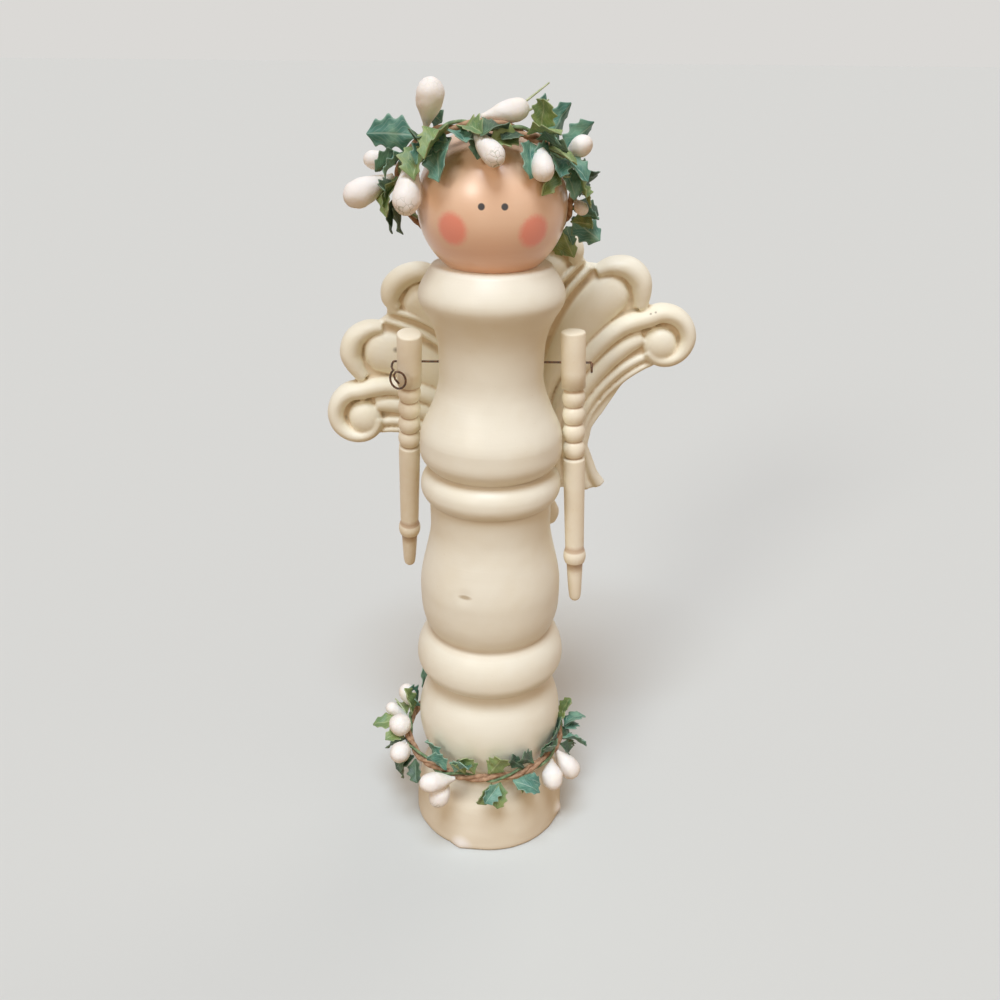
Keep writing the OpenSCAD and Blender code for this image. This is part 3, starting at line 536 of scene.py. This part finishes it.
# The scroll's band turns downwards about the scroll's middle, closer and thinner as it goes.
scroll_x, scroll_y, scroll_steps = 45.6, 0.6, 9
scroll = []
for i in range(scroll_steps + 1):
    t = i / scroll_steps
    a = math.radians(108 - 266 * t)
    r = 8.0 - 1.1 * t**2 - 1.9 * min(1, max(0, (t - 0.42) / 0.48))
    scroll.append((scroll_x + r * math.cos(a), scroll_y + r * math.sin(a), 2.9 - t, 6 - t))
half_feathers = (
    # The upper feather and its hood.
    (
        (1.6, -26, 1, 3.2), (2.8, -9, 1.6, 3.7), (5.6, 6, 2.5, 4.3), (10.6, 18, 3.9, 4.8),
        (16.5, 26.4, 4.8, 5), (20.4, 30.8, 4.6, 4.8), (22, 32.4, 3, 3),
    ),
    (
        (11.6, 34.6, 1.7, 4.4), (16.1, 37.2, 2.6, 5.6), (21.3, 37.2, 3.1, 6), (25.4, 35.1, 3.2, 6),
        (26.9, 31.9, 2.7, 5.5), (25.8, 29, 1.6, 4.4),
    ),
    # Two thin rays.
    (
        (2, -22, 0.7, 3.2), (4.6, -2, 0.8, 3.6), (9.4, 11, 0.9, 4), (17.6, 22, 1, 4.2),
        (24.6, 27.2, 1.1, 4.2), (28.8, 29.4, 1.1, 3.6),
    ),
    (
        (2.6, -24, 0.7, 3.2), (5.6, -6, 0.8, 3.6), (11.2, 8, 0.9, 4), (19.6, 19, 1, 4.2),
        (26.6, 24.5, 1.1, 4.2), (30.2, 26.7, 1.1, 3.6),
    ),
    # The side feather and its hood.
    (
        (3.6, -31, 1, 3.2), (5.6, -17, 1.6, 3.7), (10, -4.4, 2.8, 4.3), (18.3, 6, 4.7, 4.8),
        (27.6, 14.2, 6.3, 5.2), (34.6, 18.4, 6.2, 5.2), (37.4, 19.6, 4.8, 4.4), (38.6, 20, 3, 2.8),
    ),
    (
        (31.6, 24.7, 1.7, 4.4), (36, 25.2, 2.6, 5.6), (40.4, 23.5, 3.2, 6), (42.9, 19.8, 3.3, 6),
        (42.8, 15.8, 2.8, 5.6), (41.6, 11.6, 2, 4.6),
    ),
    # The band that ends in the scroll, and the feather inside it.
    (
        (6.6, -36, 1.2, 3.4), (7.8, -25.6, 1.6, 3.9), (11, -14, 2.2, 4.7), (17.4, -4.4, 2.6, 5.3),
        (26, 3, 2.9, 5.6), (35, 7.5, 2.9, 5.8), *scroll,
    ),
    (
        (9.8, -37, 1, 3.2), (11, -27, 1.4, 3.5), (13.8, -17, 2.1, 4.1), (19.6, -8.8, 2.7, 4.6),
        (27.4, -2.6, 2.9, 4.8), (34, 1, 2.8, 4.8), (38, 2.4, 2.6, 4.7), (40.5, 2.8, 2.2, 4.2),
    ),
    # The two bands of the lower edge.
    (
        (14.6, -40.4, 1.5, 3.4), (14, -34, 1.5, 3.4), (14.3, -26, 1.4, 3.6), (17.1, -18, 1.5, 3.9),
        (23.4, -10.8, 1.6, 4), (31.2, -5.7, 1.6, 4), (37.2, -3.4, 1.6, 3.9), (41, -3, 1.4, 3.6),
    ),
    (
        (18.6, -40.2, 1.9, 3.4), (17.3, -36, 1.6, 3.4), (16.7, -29.5, 1.1, 3.2), (17.5, -23, 0.9, 3.1),
        (20.4, -17.2, 0.9, 3.1), (26.2, -11.9, 1, 3.2), (33, -8, 1.1, 3.3), (38.6, -6, 1.1, 3.3),
        (41.5, -5.6, 1, 3.1),
    ),
)
# The webs that join the feathers each span two discs: across, up and radius.
half_webs = (
    ((0, -34, 3), (0, 34, 5)), ((2, -24, 2), (19, 31, 6)), ((8, 6, 3), (28, 26, 2.4)),
    ((3, -28, 3), (35, 19.5, 5.6)), ((8, -32, 5), (12, -18, 4)), ((12, -18, 4), (24, -5.5, 5)),
    ((24, -5, 5), (38, 1.5, 5)), ((38, 3, 5), (45.6, 0.6, 7)), ((2, -34, 3), (13, -37, 2.4)),
    ((14.4, -37, 2.4), (15.4, -25, 2.4)), ((16.6, -22, 1.8), (34, -5, 2)), ((0, 34, 5), (0, 40.6, 5.4)),
    ((14.6, -26, 3), (20, -14.5, 3)), ((20, -14.5, 3), (32, -5, 3.2)), ((32, -5, 3.2), (39, -2.5, 3)),
    ((20, 8, 6), (34, 17, 6.5)), ((33, 15, 6), (39.6, 17, 4.6)), ((12, 20, 5), (21.6, 31, 6.4)),
    ((26, 25, 4), (33, 20, 6)), ((15.8, -37.4, 3.2), (15.6, -28, 2.4)),
    ((39.4, 14, 3.6), (41.4, 9.4, 3.4)),
)


def spline(points, steps):
    """Places along a smooth line through the given ones."""
    rows = [np.array(p, float) for p in points]
    found = []
    for i in range(len(rows) - 1):
        a, b, c, d = rows[max(i - 1, 0)], rows[i], rows[i + 1], rows[min(i + 2, len(rows) - 1)]
        for j in range(steps):
            t = j / steps
            found.append(0.5 * (
                2 * b + (c - a) * t + (2 * a - 5 * b + 4 * c - d) * t**2 + (3 * b - a - 3 * c + d) * t**3
            ))
    return found + [rows[-1]]


def ridge(bm, points, mirrored):
    """A rounded feather along its places: one ring at each, bridged to the next, with closed ends."""
    rows = spline(points, 6)
    loops = []
    for i, (across, up, half, high) in enumerate(rows):
        step = rows[min(i + 1, len(rows) - 1)] - rows[max(i - 1, 0)]
        turn_by = math.atan2(step[1], step[0]) - math.pi / 2
        low = min(0.9, high / 3)
        ring = (
            Matrix.Translation((across, up, low))
            @ Matrix.Rotation(turn_by, 4, "Z")
            @ Matrix.Diagonal((half, 1, high - low, 1))
            @ Matrix.Rotation(math.pi / 2, 4, "X")
        )
        if mirrored:
            ring = Matrix.Diagonal((-1, 1, 1, 1)) @ ring
        made = bmesh.ops.create_circle(bm, cap_ends=False, segments=20, radius=1, matrix=ring)["verts"]
        for v in made:
            rise = (v.co.z - low) / (high - low)
            v.co.z = low + (high - low) * rise**0.75 if rise > 0 else max(v.co.z, 0)
        loops.append(list({e for v in made for e in v.link_edges}))
    for a, b in zip(loops, loops[1:]):
        bmesh.ops.bridge_loops(bm, edges=a + b)
    bmesh.ops.contextual_create(bm, geom=loops[0])
    bmesh.ops.contextual_create(bm, geom=loops[-1])


bm = bmesh.new()
ridge(bm, centre_feather, mirrored=False)
ridge(bm, centre_curl, mirrored=False)
for mirrored in (False, True):
    flip = -1 if mirrored else 1
    for points in half_feathers:
        ridge(bm, points, mirrored)
    for web in half_webs:
        discs = []
        for across, up, radius in web:
            discs += bmesh.ops.create_cone(
                bm, cap_ends=True, segments=24, radius1=radius, radius2=radius, depth=web_thick,
                matrix=Matrix.Translation((flip * across, up, web_thick / 2)),
            )["verts"]
        hull = bmesh.ops.convex_hull(bm, input=discs)
        inside = [g for g in hull["geom_interior"] if isinstance(g, bmesh.types.BMVert)]
        bmesh.ops.delete(bm, geom=inside, context="VERTS")
    scroll_eye = Matrix.Translation((flip * 44.8, -0.3, 2.5)) @ Matrix.Diagonal((4.9, 5.2, 3.3, 1))
    bmesh.ops.create_uvsphere(bm, u_segments=32, v_segments=20, radius=1, matrix=scroll_eye)
bmesh.ops.recalc_face_normals(bm, faces=bm.faces)
bmesh.ops.scale(bm, vec=(mm, mm, mm), verts=bm.verts)
rough_cut = bpy.data.meshes.new("wing_rough_cut")
bm.to_mesh(rough_cut)
bm.free()
carving = bpy.data.objects.new("wing_rough_cut", rough_cut)
scene.collection.objects.link(carving)
fuse = carving.modifiers.new("fuse", "REMESH")
fuse.mode = "VOXEL"
fuse.voxel_size = wing_voxel * mm
sand = carving.modifiers.new("sand", "SMOOTH")
sand.factor = 0.5
sand.iterations = 3
bm = bmesh.new()
bm.from_object(carving, bpy.context.evaluated_depsgraph_get())
bpy.data.objects.remove(carving)
bmesh.ops.transform(bm, matrix=Matrix.Scale(mm, 4) @ wing_place @ Matrix.Scale(1 / mm, 4), verts=bm.verts)

# Aged ivory paint on pressed wood: matte, with warm tan painted shade in the recesses,
# and greenish grey dirt in the deepest ones. It clouds over 11 mm, and its grit is drawn 0.8 mm wide.
aged_ivory, tree, place = new_finish("aged_ivory_paint")
recess = add(tree, "Attribute", out="Fac", attribute_name="recess")
cloud = add(tree, "TexNoise", {"Scale": every(11), "Detail": 4, "Roughness": 0.6}, {"Vector": place})
speck = add(tree, "TexNoise", {"Scale": every(0.8), "Detail": 3, "Roughness": 0.7}, {"Vector": place})
coat = brush_on(tree, "#fbf9e7", "#f6efd1", cloud, 0.4, 0.7, 0.45)
# Tan painted shade in the recesses.
coat = brush_on(tree, coat, "#c9a878", recess, 0.06, 0.7, 0.62)
deep = add(tree, "MapRange", {"From Min": 0.5, "From Max": 1.0}, {"Value": recess})
patch = add(tree, "MapRange", {"From Min": 0.5, "From Max": 0.6, "To Max": 0.75}, {"Value": cloud})
grime = add(tree, "Math", links={0: deep, 1: patch}, operation="MULTIPLY")
coat = add(tree, "MixRGB", {"Color2": linear("#7d7456")}, {"Fac": grime, "Color1": coat})
# Three dark flecks: centre and reach.
for fleck, reach in (((-27.6, 19, 150), 1.1), ((45.2, 19, 161.2), 0.5), ((46.6, 19, 161.6), 0.45)):
    away = add(tree, "VectorMath", {1: Vector(fleck) * mm}, {0: place}, out="Value", operation="DISTANCE")
    coat = brush_on(tree, coat, "#6b5a3e", away, reach * mm, 0.3 * reach * mm, 0.7)
shine = add(
    tree, "MapRange", {"From Min": 0.3, "From Max": 0.7, "To Min": 0.40, "To Max": 0.58}, {"Value": cloud}
)
grain = add(tree, "Bump", {"Strength": 0.15, "Distance": 0.2 * mm}, {"Height": speck})
surface(tree, {"Base Color": coat, "Roughness": shine, "Normal": grain}, {"IOR": 1.48})
wing = show("carved_wings", bm, "doll", "wing_ivory", aged_ivory, "wing_plaque")
mark_recesses(wing.data, steps=22, reach=0.75 * mm)

# Wreath rings: florist's stems wrapped in brown and green paper, twisted together into a hoop.
# One hoop sits askew on the head, the other rides on the bulb above the foot.
# Each is a little wider than what it lies on and sits as much to the side.
twig_r, twig_gap, hoop_shift = 1.3, 0.25, 1.8
head_hoop_up, base_hoop_up = 3.9, 30.0
bulb_foot, bulb = body_turning[1]
head_hoop = math.sqrt((head_r + twig_r + twig_gap) ** 2 - head_hoop_up**2) + hoop_shift
base_hoop = turned_radius(bulb, base_hoop_up - bulb_foot) + twig_r + twig_gap + hoop_shift
head_wreath = (
    Matrix.Translation((0, 0, head_z))
    @ Matrix.Rotation(math.radians(6), 4, "Y")
    @ Matrix.Rotation(math.radians(-49.5), 4, "X")
    @ Matrix.Translation((-hoop_shift, 0, head_hoop_up))
)
base_wreath = Matrix.Translation((-hoop_shift, 0, base_hoop_up))


def wrapped_paper(name, light, dark):
    """Crepe paper wound on a stem: a matte skin with a slanting wrap every 1.3 mm,
    worn in patches of 1.9 mm, with fibres drawn 0.4 mm wide so that they show."""
    paper, tree, place = new_finish(name)
    along = add(tree, "Attribute", out="Fac", attribute_name="along")
    around = add(tree, "Attribute", out="Fac", attribute_name="around")
    worn = add(tree, "TexNoise", {"Scale": every(1.9), "Detail": 4, "Roughness": 0.65}, {"Vector": place})
    fibre = add(tree, "TexNoise", {"Scale": every(0.4), "Detail": 2, "Roughness": 0.7}, {"Vector": place})
    turns = add(tree, "Math", {1: 1 / 1.3}, {0: along, 2: around}, operation="MULTIPLY_ADD")
    turns = add(tree, "Math", {1: 0.6}, {0: worn, 2: turns}, operation="MULTIPLY_ADD")
    wrap = add(tree, "Math", {1: 1.0}, {0: turns}, operation="PINGPONG")
    share = add(tree, "Math", {1: 0.22}, {0: wrap, 2: worn}, operation="MULTIPLY_ADD")
    share = add(tree, "MapRange", {"From Min": 0.38, "From Max": 0.82}, {"Value": share})
    tint = add(tree, "MixRGB", {"Color1": linear(dark), "Color2": linear(light)}, {"Fac": share})
    ridges = add(tree, "Math", {1: 0.5}, {0: fibre, 2: share}, operation="MULTIPLY_ADD")
    relief = add(tree, "Bump", {"Strength": 0.45, "Distance": 0.2 * mm}, {"Height": ridges})
    surface(tree, {"Base Color": tint, "Normal": relief}, {"Roughness": 0.8})
    return paper


brown_wrap = wrapped_paper("brown_crepe_wrap", "#c9a685", "#8f6a50")
green_wrap = wrapped_paper("green_crepe_wrap", "#93ab80", "#55714f")
pale_stem = wrapped_paper("pale_green_stem", "#d3dbb8", "#a9bb8c")


def on_ring(wreath, hoop, place):
    """Where a stem stands on its ring: its foot at the origin, growing along minus Y."""
    foot = 1.45 + 0.65 * abs(math.sin(math.radians(place[2])))
    return (
        wreath
        @ Matrix.Rotation(math.radians(place[0]), 4, "Z")
        @ Matrix.Translation((0, -hoop, 0))
        @ Matrix.Rotation(math.radians(-place[1]), 4, "X")
        @ Matrix.Translation((0, -foot, 0))
        @ Matrix.Rotation(math.radians(place[2]), 4, "Z")
    )


# Each ring is two brown stems and a thin green one wound round each other, with a few bare stem ends.
# A strand: thickness, distance from the twist's middle, material. A stem end: place, lift, swing, length.
ring_steps, ring_turns, stem_steps = 220, 9, 8
strands = ((1.4, 0.62, 0), (1.2, 0.70, 0), (0.9, 0.95, 1))
for name, wreath, hoop, node, seed, stems in (
    ("head_wreath_ring", head_wreath, head_hoop, "head_twig", 1.0, ((4, 84, 37, 17), (8, 84, 44, 13))),
    ("base_wreath_ring", base_wreath, base_hoop, "base_twig", 5.0, ((262, 40, -34, 7), (99, 30, 30, 6))),
):
    bm = bmesh.new()
    for k, (thick, out, slot) in enumerate(strands):
        points = []
        for i in range(ring_steps):
            a = math.tau * i / ring_steps
            sway = noise.noise(Vector((3 * math.cos(a), 3 * math.sin(a), seed)))
            b = math.tau * (ring_turns * i / ring_steps + k / len(strands)) + 0.9 * sway
            reach = hoop + 0.15 + out * math.cos(b)
            points.append(wreath @ Vector((reach * math.sin(a), -reach * math.cos(a), out * math.sin(b))))
        uneven = [thick * (1 + 0.25 * noise.noise(p * 0.5)) for p in points]
        tube(bm, points, uneven, closed=True, slot=slot)
    for stem in stems:
        place = on_ring(wreath, hoop, stem)
        points = []
        for i in range(stem_steps + 1):
            share = i / stem_steps
            bent = Vector((0.5 * share**2, 0.8 - (stem[3] + 0.8) * share, 0.6 * math.sin(i / 3)))
            points.append(place @ bent)
        tube(bm, points, [0.8 - 0.05 * i for i in range(stem_steps + 1)], closed=False, slot=2)
    bmesh.ops.recalc_face_normals(bm, faces=bm.faces)
    ring = show(name, bm, "doll", "twig_wrap", brown_wrap, node)
    ring.data.materials.append(green_wrap)
    ring.data.materials.append(pale_stem)

# Pips: pressed paper buds on thin necks, dipped in white, lumpy, some cracked at the end.
# The dip clouds over 4 mm, its grain is drawn 0.7 mm wide, and its cracks run about 1.6 mm apart.
# Each stands on its ring: place round the ring, lift, swing, length, thickness.
head_pips = (
    (318, 30, 42, 12, 6.6), (284, 14, -26, 8.5, 4.6), (276, -24, -30, 14, 7), (303, -96, -14, 16, 6.8),
    (347, -85, 34, 13.5, 5.2), (352, 80, 76, 11.5, 5.4), (30, -80, 4, 11.5, 5.4), (50, 20, 10, 7, 5),
    (86, -60, -10, 5, 3.4),
)
base_pips = (
    (251, 70, 0, 9, 5.4), (262, 36, 4, 8, 4), (275, 62, 40, 9, 6.9), (293, 20, 45, 9, 6.2),
    (285, -58, -20, 9, 3.8), (341, 6, -52, 11, 6), (334, -50, -6, 9.5, 6.4), (57, -58, -34, 9.5, 6.6),
    (66, -52, 4, 11, 6.4),
)
white_paper, tree, place = new_finish("dipped_white_paper")
tip = add(tree, "Attribute", out="Fac", attribute_name="tip")
cloud = add(tree, "TexNoise", {"Scale": every(4), "Detail": 4, "Roughness": 0.6}, {"Vector": place})
fine = add(tree, "TexNoise", {"Scale": every(0.7), "Detail": 3, "Roughness": 0.7}, {"Vector": place})
cells = add(tree, "TexVoronoi", {"Scale": every(1.6)}, {"Vector": place}, feature="DISTANCE_TO_EDGE")
coat = brush_on(tree, "#fffdf8", "#f6efd8", cloud, 0.5, 0.75, 0.5)
crack = add(tree, "MapRange", {"From Min": 0.05, "From Max": 0.0}, {"Value": cells})
crack = add(tree, "Math", links={0: crack, 1: tip}, operation="MULTIPLY")
coat = add(tree, "MixRGB", {"Color2": linear("#a9ae96")}, {"Fac": crack, "Color1": coat})
bumps = add(tree, "Math", {1: 0.5}, {0: fine, 2: cloud}, operation="MULTIPLY_ADD")
creases = add(tree, "Math", {1: -0.8}, {0: crack, 2: bumps}, operation="MULTIPLY_ADD")
grain = add(tree, "Bump", {"Strength": 0.35, "Distance": 0.4 * mm}, {"Height": creases})
surface(
    tree, {"Base Color": coat, "Normal": grain},
    {"Roughness": 0.62, "Subsurface Weight": 0.12, "Subsurface Radius": (1.2 * mm, 1.0 * mm, 0.8 * mm)},
)
neck_r = 0.65
pip_rows, cap_rows = 16, 10
cracked_pips = ("head_pip_4", "head_pip_5", "base_pip_7")
for group, wreath, hoop, places in (
    ("head_pip_", head_wreath, head_hoop, head_pips),
    ("base_pip_", base_wreath, base_hoop, base_pips),
):
    for number, place in enumerate(places, 1):
        node = group + str(number)
        length, thick = place[3], place[4]
        cap = min(0.6 * thick, length / 2)
        outline = [(0, 0)]
        for i in range(pip_rows + 1):
            swell = (1 - math.cos(math.pi * (i / pip_rows) ** 0.8)) / 2
            outline.append((neck_r + (thick / 2 - neck_r) * swell, (length - cap) * i / pip_rows))
        for i in range(1, cap_rows):
            a = math.pi / 2 * i / cap_rows
            outline.append((thick / 2 * math.cos(a), length - cap + cap * math.sin(a)))
        outline += [(0, length)]
        bm = turn(outline, steps=28)
        odd = Vector((7.3 * number, 3.1 * len(group), 0))
        for v in bm.verts:
            p = v.co / mm
            share = p.z / length
            lump = 0.22 * noise.noise(p / 2.6 + odd) + 0.10 * noise.noise(p / 1.1 + odd)
            flat = Vector((p.x, p.y, 0))
            if flat.length > 0.01 and share > 0.02:
                v.co += flat.normalized() * lump * min(1, 3 * share) * thick / 6 * mm
        stand = Matrix.Scale(mm, 4) @ on_ring(wreath, hoop, place)
        lay_down = Matrix.Rotation(math.pi / 2, 4, "X") @ Matrix.Scale(1 / mm, 4)
        bmesh.ops.transform(bm, matrix=stand @ lay_down, verts=bm.verts)
        pip = show(node.replace("pip_", "bud_"), bm, "doll", "pip_white", white_paper, node)
        foot, end = stand @ Vector((0, 0, 0)), stand @ Vector((0, -length, 0))
        along = (end - foot).normalized()
        cracked = 0.9 if node in cracked_pips else 0.2
        marks = pip.data.attributes.new("tip", "FLOAT", "POINT")
        marks.data.foreach_set("value", [
            cracked * min(1, max(0, ((v.co - foot).dot(along) / (length * mm) - 0.78) * 6))
            for v in pip.data.vertices
        ])

# Holly leaves: waxed paper blades cut with spines and bays, creased down the middle and curled.
# Each stands on its ring: place round the ring, lift, swing, turn of the blade, length, width.
head_leaves = (
    (311, 2, -48, -30, 12, 8), (333, -78, -24, 0, 10.5, 8), (307, -70, -8, 0, 6.5, 5),
    (328, 62, -40, 0, 7, 4.5), (279, -80, -46, 0, 9, 5), (262, -75, -50, 0, 10, 6),
    (44, 84, -30, 0, 13, 8), (27, 20, -26, 40, 8, 6.5), (16, -72, -42, 0, 7, 4.5),
    (41, -78, 8, 0, 8, 5.5), (63, -60, 20, 0, 7, 5), (88, -10, 34, 40, 6.5, 4), (103, -24, 8, 50, 9.5, 7),
    (117, -20, 30, 40, 9, 5.5), (74, 70, 20, 0, 8, 6), (148, 66, -46, 0, 8.5, 6),
    (214, 66, 46, 0, 8.5, 6),
)
base_leaves = (
    (239, 84, -14, 0, 11, 8), (266, -2, 8, 20, 10.5, 6.5), (294, -70, 6, 0, 10, 5.5),
    (334, 60, -48, 0, 7.5, 6), (354, 74, -34, 0, 8, 5.5), (38, 72, -44, 0, 9, 5), (20, -24, 50, 0, 9, 5),
    (12, -72, -10, 0, 8.5, 4.5), (61, 80, 12, 0, 7, 5), (80, -20, 4, 30, 8.5, 6.5),
    (97, 60, 12, 0, 7.5, 5.5), (75, -66, 30, 0, 8, 4.5), (155, 50, 16, 0, 8.5, 6),
    (205, 50, -16, 0, 8.5, 6),
)
# A blade's cut edge from foot to tip: share of its length, share of half its width.
leaf_edge = (
    (0, 0.1), (0.08, 0.2), (0.16, 0.42), (0.24, 0.72), (0.30, 1.0), (0.36, 0.78), (0.44, 0.66),
    (0.51, 0.76), (0.58, 1.05), (0.64, 0.8), (0.71, 0.6), (0.78, 0.6), (0.84, 0.78), (0.89, 0.46),
    (0.95, 0.2), (1, 0.02),
)


def waxed_paper(name, main, second, edge):
    """Dyed paper with a thin wax: mottled between two greens, paler along veins and cut edges, softly glossy.
    It mottles over 5 mm, its gloss varies over 0.6 mm, and a blade of 9 mm has 7 pairs of side veins."""
    paper, tree, place = new_finish(name)
    blade = add(tree, "UVMap")
    across, up = (add(tree, "SeparateXYZ", links={0: blade}, out=axis) for axis in "XY")
    across = add(tree, "Math", {1: 0.5}, {0: across}, operation="SUBTRACT")
    across = add(tree, "Math", links={0: across}, operation="ABSOLUTE")
    mottle = add(tree, "TexNoise", {"Scale": every(5), "Detail": 4, "Roughness": 0.6}, {"Vector": place})
    fine = add(tree, "TexNoise", {"Scale": every(0.6), "Detail": 2, "Roughness": 0.7}, {"Vector": place})
    tint = brush_on(tree, main, second, mottle, 0.42, 0.62)
    rib = add(tree, "MapRange", {"From Min": 0.045, "From Max": 0.01, "To Max": 0.55}, {"Value": across})
    side = add(tree, "Math", {1: 0.9}, {0: across, 2: up}, operation="MULTIPLY_ADD")
    side = add(tree, "Math", {1: 7 * math.tau}, {0: side}, operation="MULTIPLY")
    veins = add(tree, "Math", links={0: side}, operation="SINE")
    veins = add(tree, "MapRange", {"From Min": 0.86, "From Max": 1.0, "To Max": 0.35}, {"Value": veins})
    cut = add(tree, "MapRange", {"From Min": 0.42, "From Max": 0.5, "To Max": 0.5}, {"Value": across})
    lines = add(tree, "Math", links={0: rib, 1: veins}, operation="MAXIMUM")
    pale = add(tree, "Math", links={0: lines, 1: cut}, operation="MAXIMUM")
    tint = add(tree, "MixRGB", {"Color2": linear(edge)}, {"Fac": pale, "Color1": tint})
    rough = add(tree, "MapRange", {"To Min": 0.34, "To Max": 0.6}, {"Value": fine})
    crease = add(tree, "Math", {1: -0.6}, {0: lines, 2: mottle}, operation="MULTIPLY_ADD")
    relief = add(tree, "Bump", {"Strength": 0.4, "Distance": 0.3 * mm}, {"Height": crease})
    surface(tree, {"Base Color": tint, "Roughness": rough, "Normal": relief})
    return paper


leaf_papers = (
    ("leaf_teal", waxed_paper("teal_waxed_paper", "#4a7f70", "#7cab92", "#b4cfba")),
    ("leaf_light", waxed_paper("light_green_waxed_paper", "#8fa464", "#6b8c5c", "#c3cd9e")),
    ("leaf_dark", waxed_paper("dark_green_waxed_paper", "#3a5342", "#567656", "#8fa98c")),
)
# Each sprig holds its main blade and two smaller ones that lie closer to the ring.
# Some hold one or two more, which fall over the forehead or stand beside the bulb.
more_blades = {
    "head_leaf_2": ((316, -94, -20, 0, 10, 7.5),),
    "head_leaf_4": ((328, -100, -4, 0, 12.5, 10),),
    "head_leaf_7": ((38, 62, 6, 0, 11, 8), (52, 36, -8, 0, 10, 7.5)),
    "head_leaf_8": ((20, -30, 40, 0, 9, 7.5),),
    "head_leaf_9": ((354, -96, -6, 0, 8, 6.5),),
    "head_leaf_10": ((23, -98, 10, 0, 10, 8),),
    "head_leaf_11": ((45, -104, -4, 0, 11, 5),),
    "base_leaf_1": ((264, -30, -20, 0, 9.5, 6.5),),
    "base_leaf_2": ((262, 84, 6, 0, 12, 6.5),),
    "base_leaf_3": ((300, -56, -30, 0, 9, 6), (280, -48, -24, 0, 9, 6)),
}
leaf_thick = 0.32
least_lift, most_lift, clear_lift, most_swing = -92, 82, 58, 65
random.seed(11)
for group, wreath, hoop, places in (
    ("head_leaf_", head_wreath, head_hoop, head_leaves),
    ("base_leaf_", base_wreath, base_hoop, base_leaves),
):
    for number, sprig in enumerate(places, 1):
        node = group + str(number)
        slot, paper = leaf_papers[(number - 1) % len(leaf_papers)]
        blades = [(*sprig[:5], 1.15 * sprig[5])]
        at, rise = sprig[:2]
        over_face = group == "head_leaf_" and (at > 300 or at < 60)
        beside_face = group == "head_leaf_" and 60 <= at <= 130
        close_to_body = group == "base_leaf_" and abs(math.cos(math.radians(at))) > 0.5
        for way in (1, 1) if node in ("base_leaf_10", "base_leaf_12") else (-1, 1):
            lift = random.uniform(least_lift, -35) if over_face else rise + random.uniform(-24, 24)
            if close_to_body:
                lift = math.copysign(max(clear_lift, abs(lift)), lift)
            size = random.uniform(5.5, 7.5) if beside_face else random.uniform(6.5, 9.5)
            blades.append((
                at + way * random.uniform(5, 11),
                max(least_lift, min(most_lift, lift)),
                max(-most_swing, min(most_swing, way * random.uniform(20, 62))),
                random.uniform(-35, 35),
                size,
                size * random.uniform(0.68, 0.8),
            ))
        blades += more_blades.get(node, ())
        bm = bmesh.new()
        uv = bm.loops.layers.uv.new("blade")
        spots = {}
        for place in blades:
            length, width = place[4], place[5]
            fold = 0.30 + random.uniform(-0.10, 0.40)
            arch = 0.10 + random.uniform(-0.03, 0.16)
            twist = random.uniform(-0.6, 0.6)
            odd = random.uniform(0, 90)
            rows = len(leaf_edge)
            made = bmesh.ops.create_grid(bm, x_segments=8, y_segments=rows - 1, size=1)["verts"]
            for v in made:
                across = v.co.x
                share, reach = leaf_edge[round((1 - v.co.y) / 2 * (rows - 1))]
                spots[v] = ((across + 1) / 2, share)
                x = across * reach * width / 2
                bend = twist * share
                crumple = 0.8 * noise.noise(Vector((x / 2.2, share * length / 2.6, odd)))
                crumple += 0.3 * noise.noise(Vector((x / 0.9, share * length / 1.1, odd)))
                z = 2 * arch * length * share * (1 - share) + fold * abs(x) + crumple
                v.co = (x * math.cos(bend), -share * length, z + x * math.sin(bend))
            blade = on_ring(wreath, hoop, place) @ Matrix.Rotation(math.radians(place[3]), 4, "Y")
            bmesh.ops.transform(bm, matrix=Matrix.Scale(mm, 4) @ blade, verts=made)
        for face in bm.faces:
            for corner in face.loops:
                corner[uv].uv = spots[corner.vert]
        leaf = show(node.replace("leaf_", "sprig_"), bm, "doll", slot, paper, node)
        thick = leaf.modifiers.new("thickness", "SOLIDIFY")
        thick.thickness = leaf_thick * mm
        thick.offset = 0
        round_off = leaf.modifiers.new("smooth", "SUBSURF")
        round_off.levels = 1
        round_off.render_levels = 1
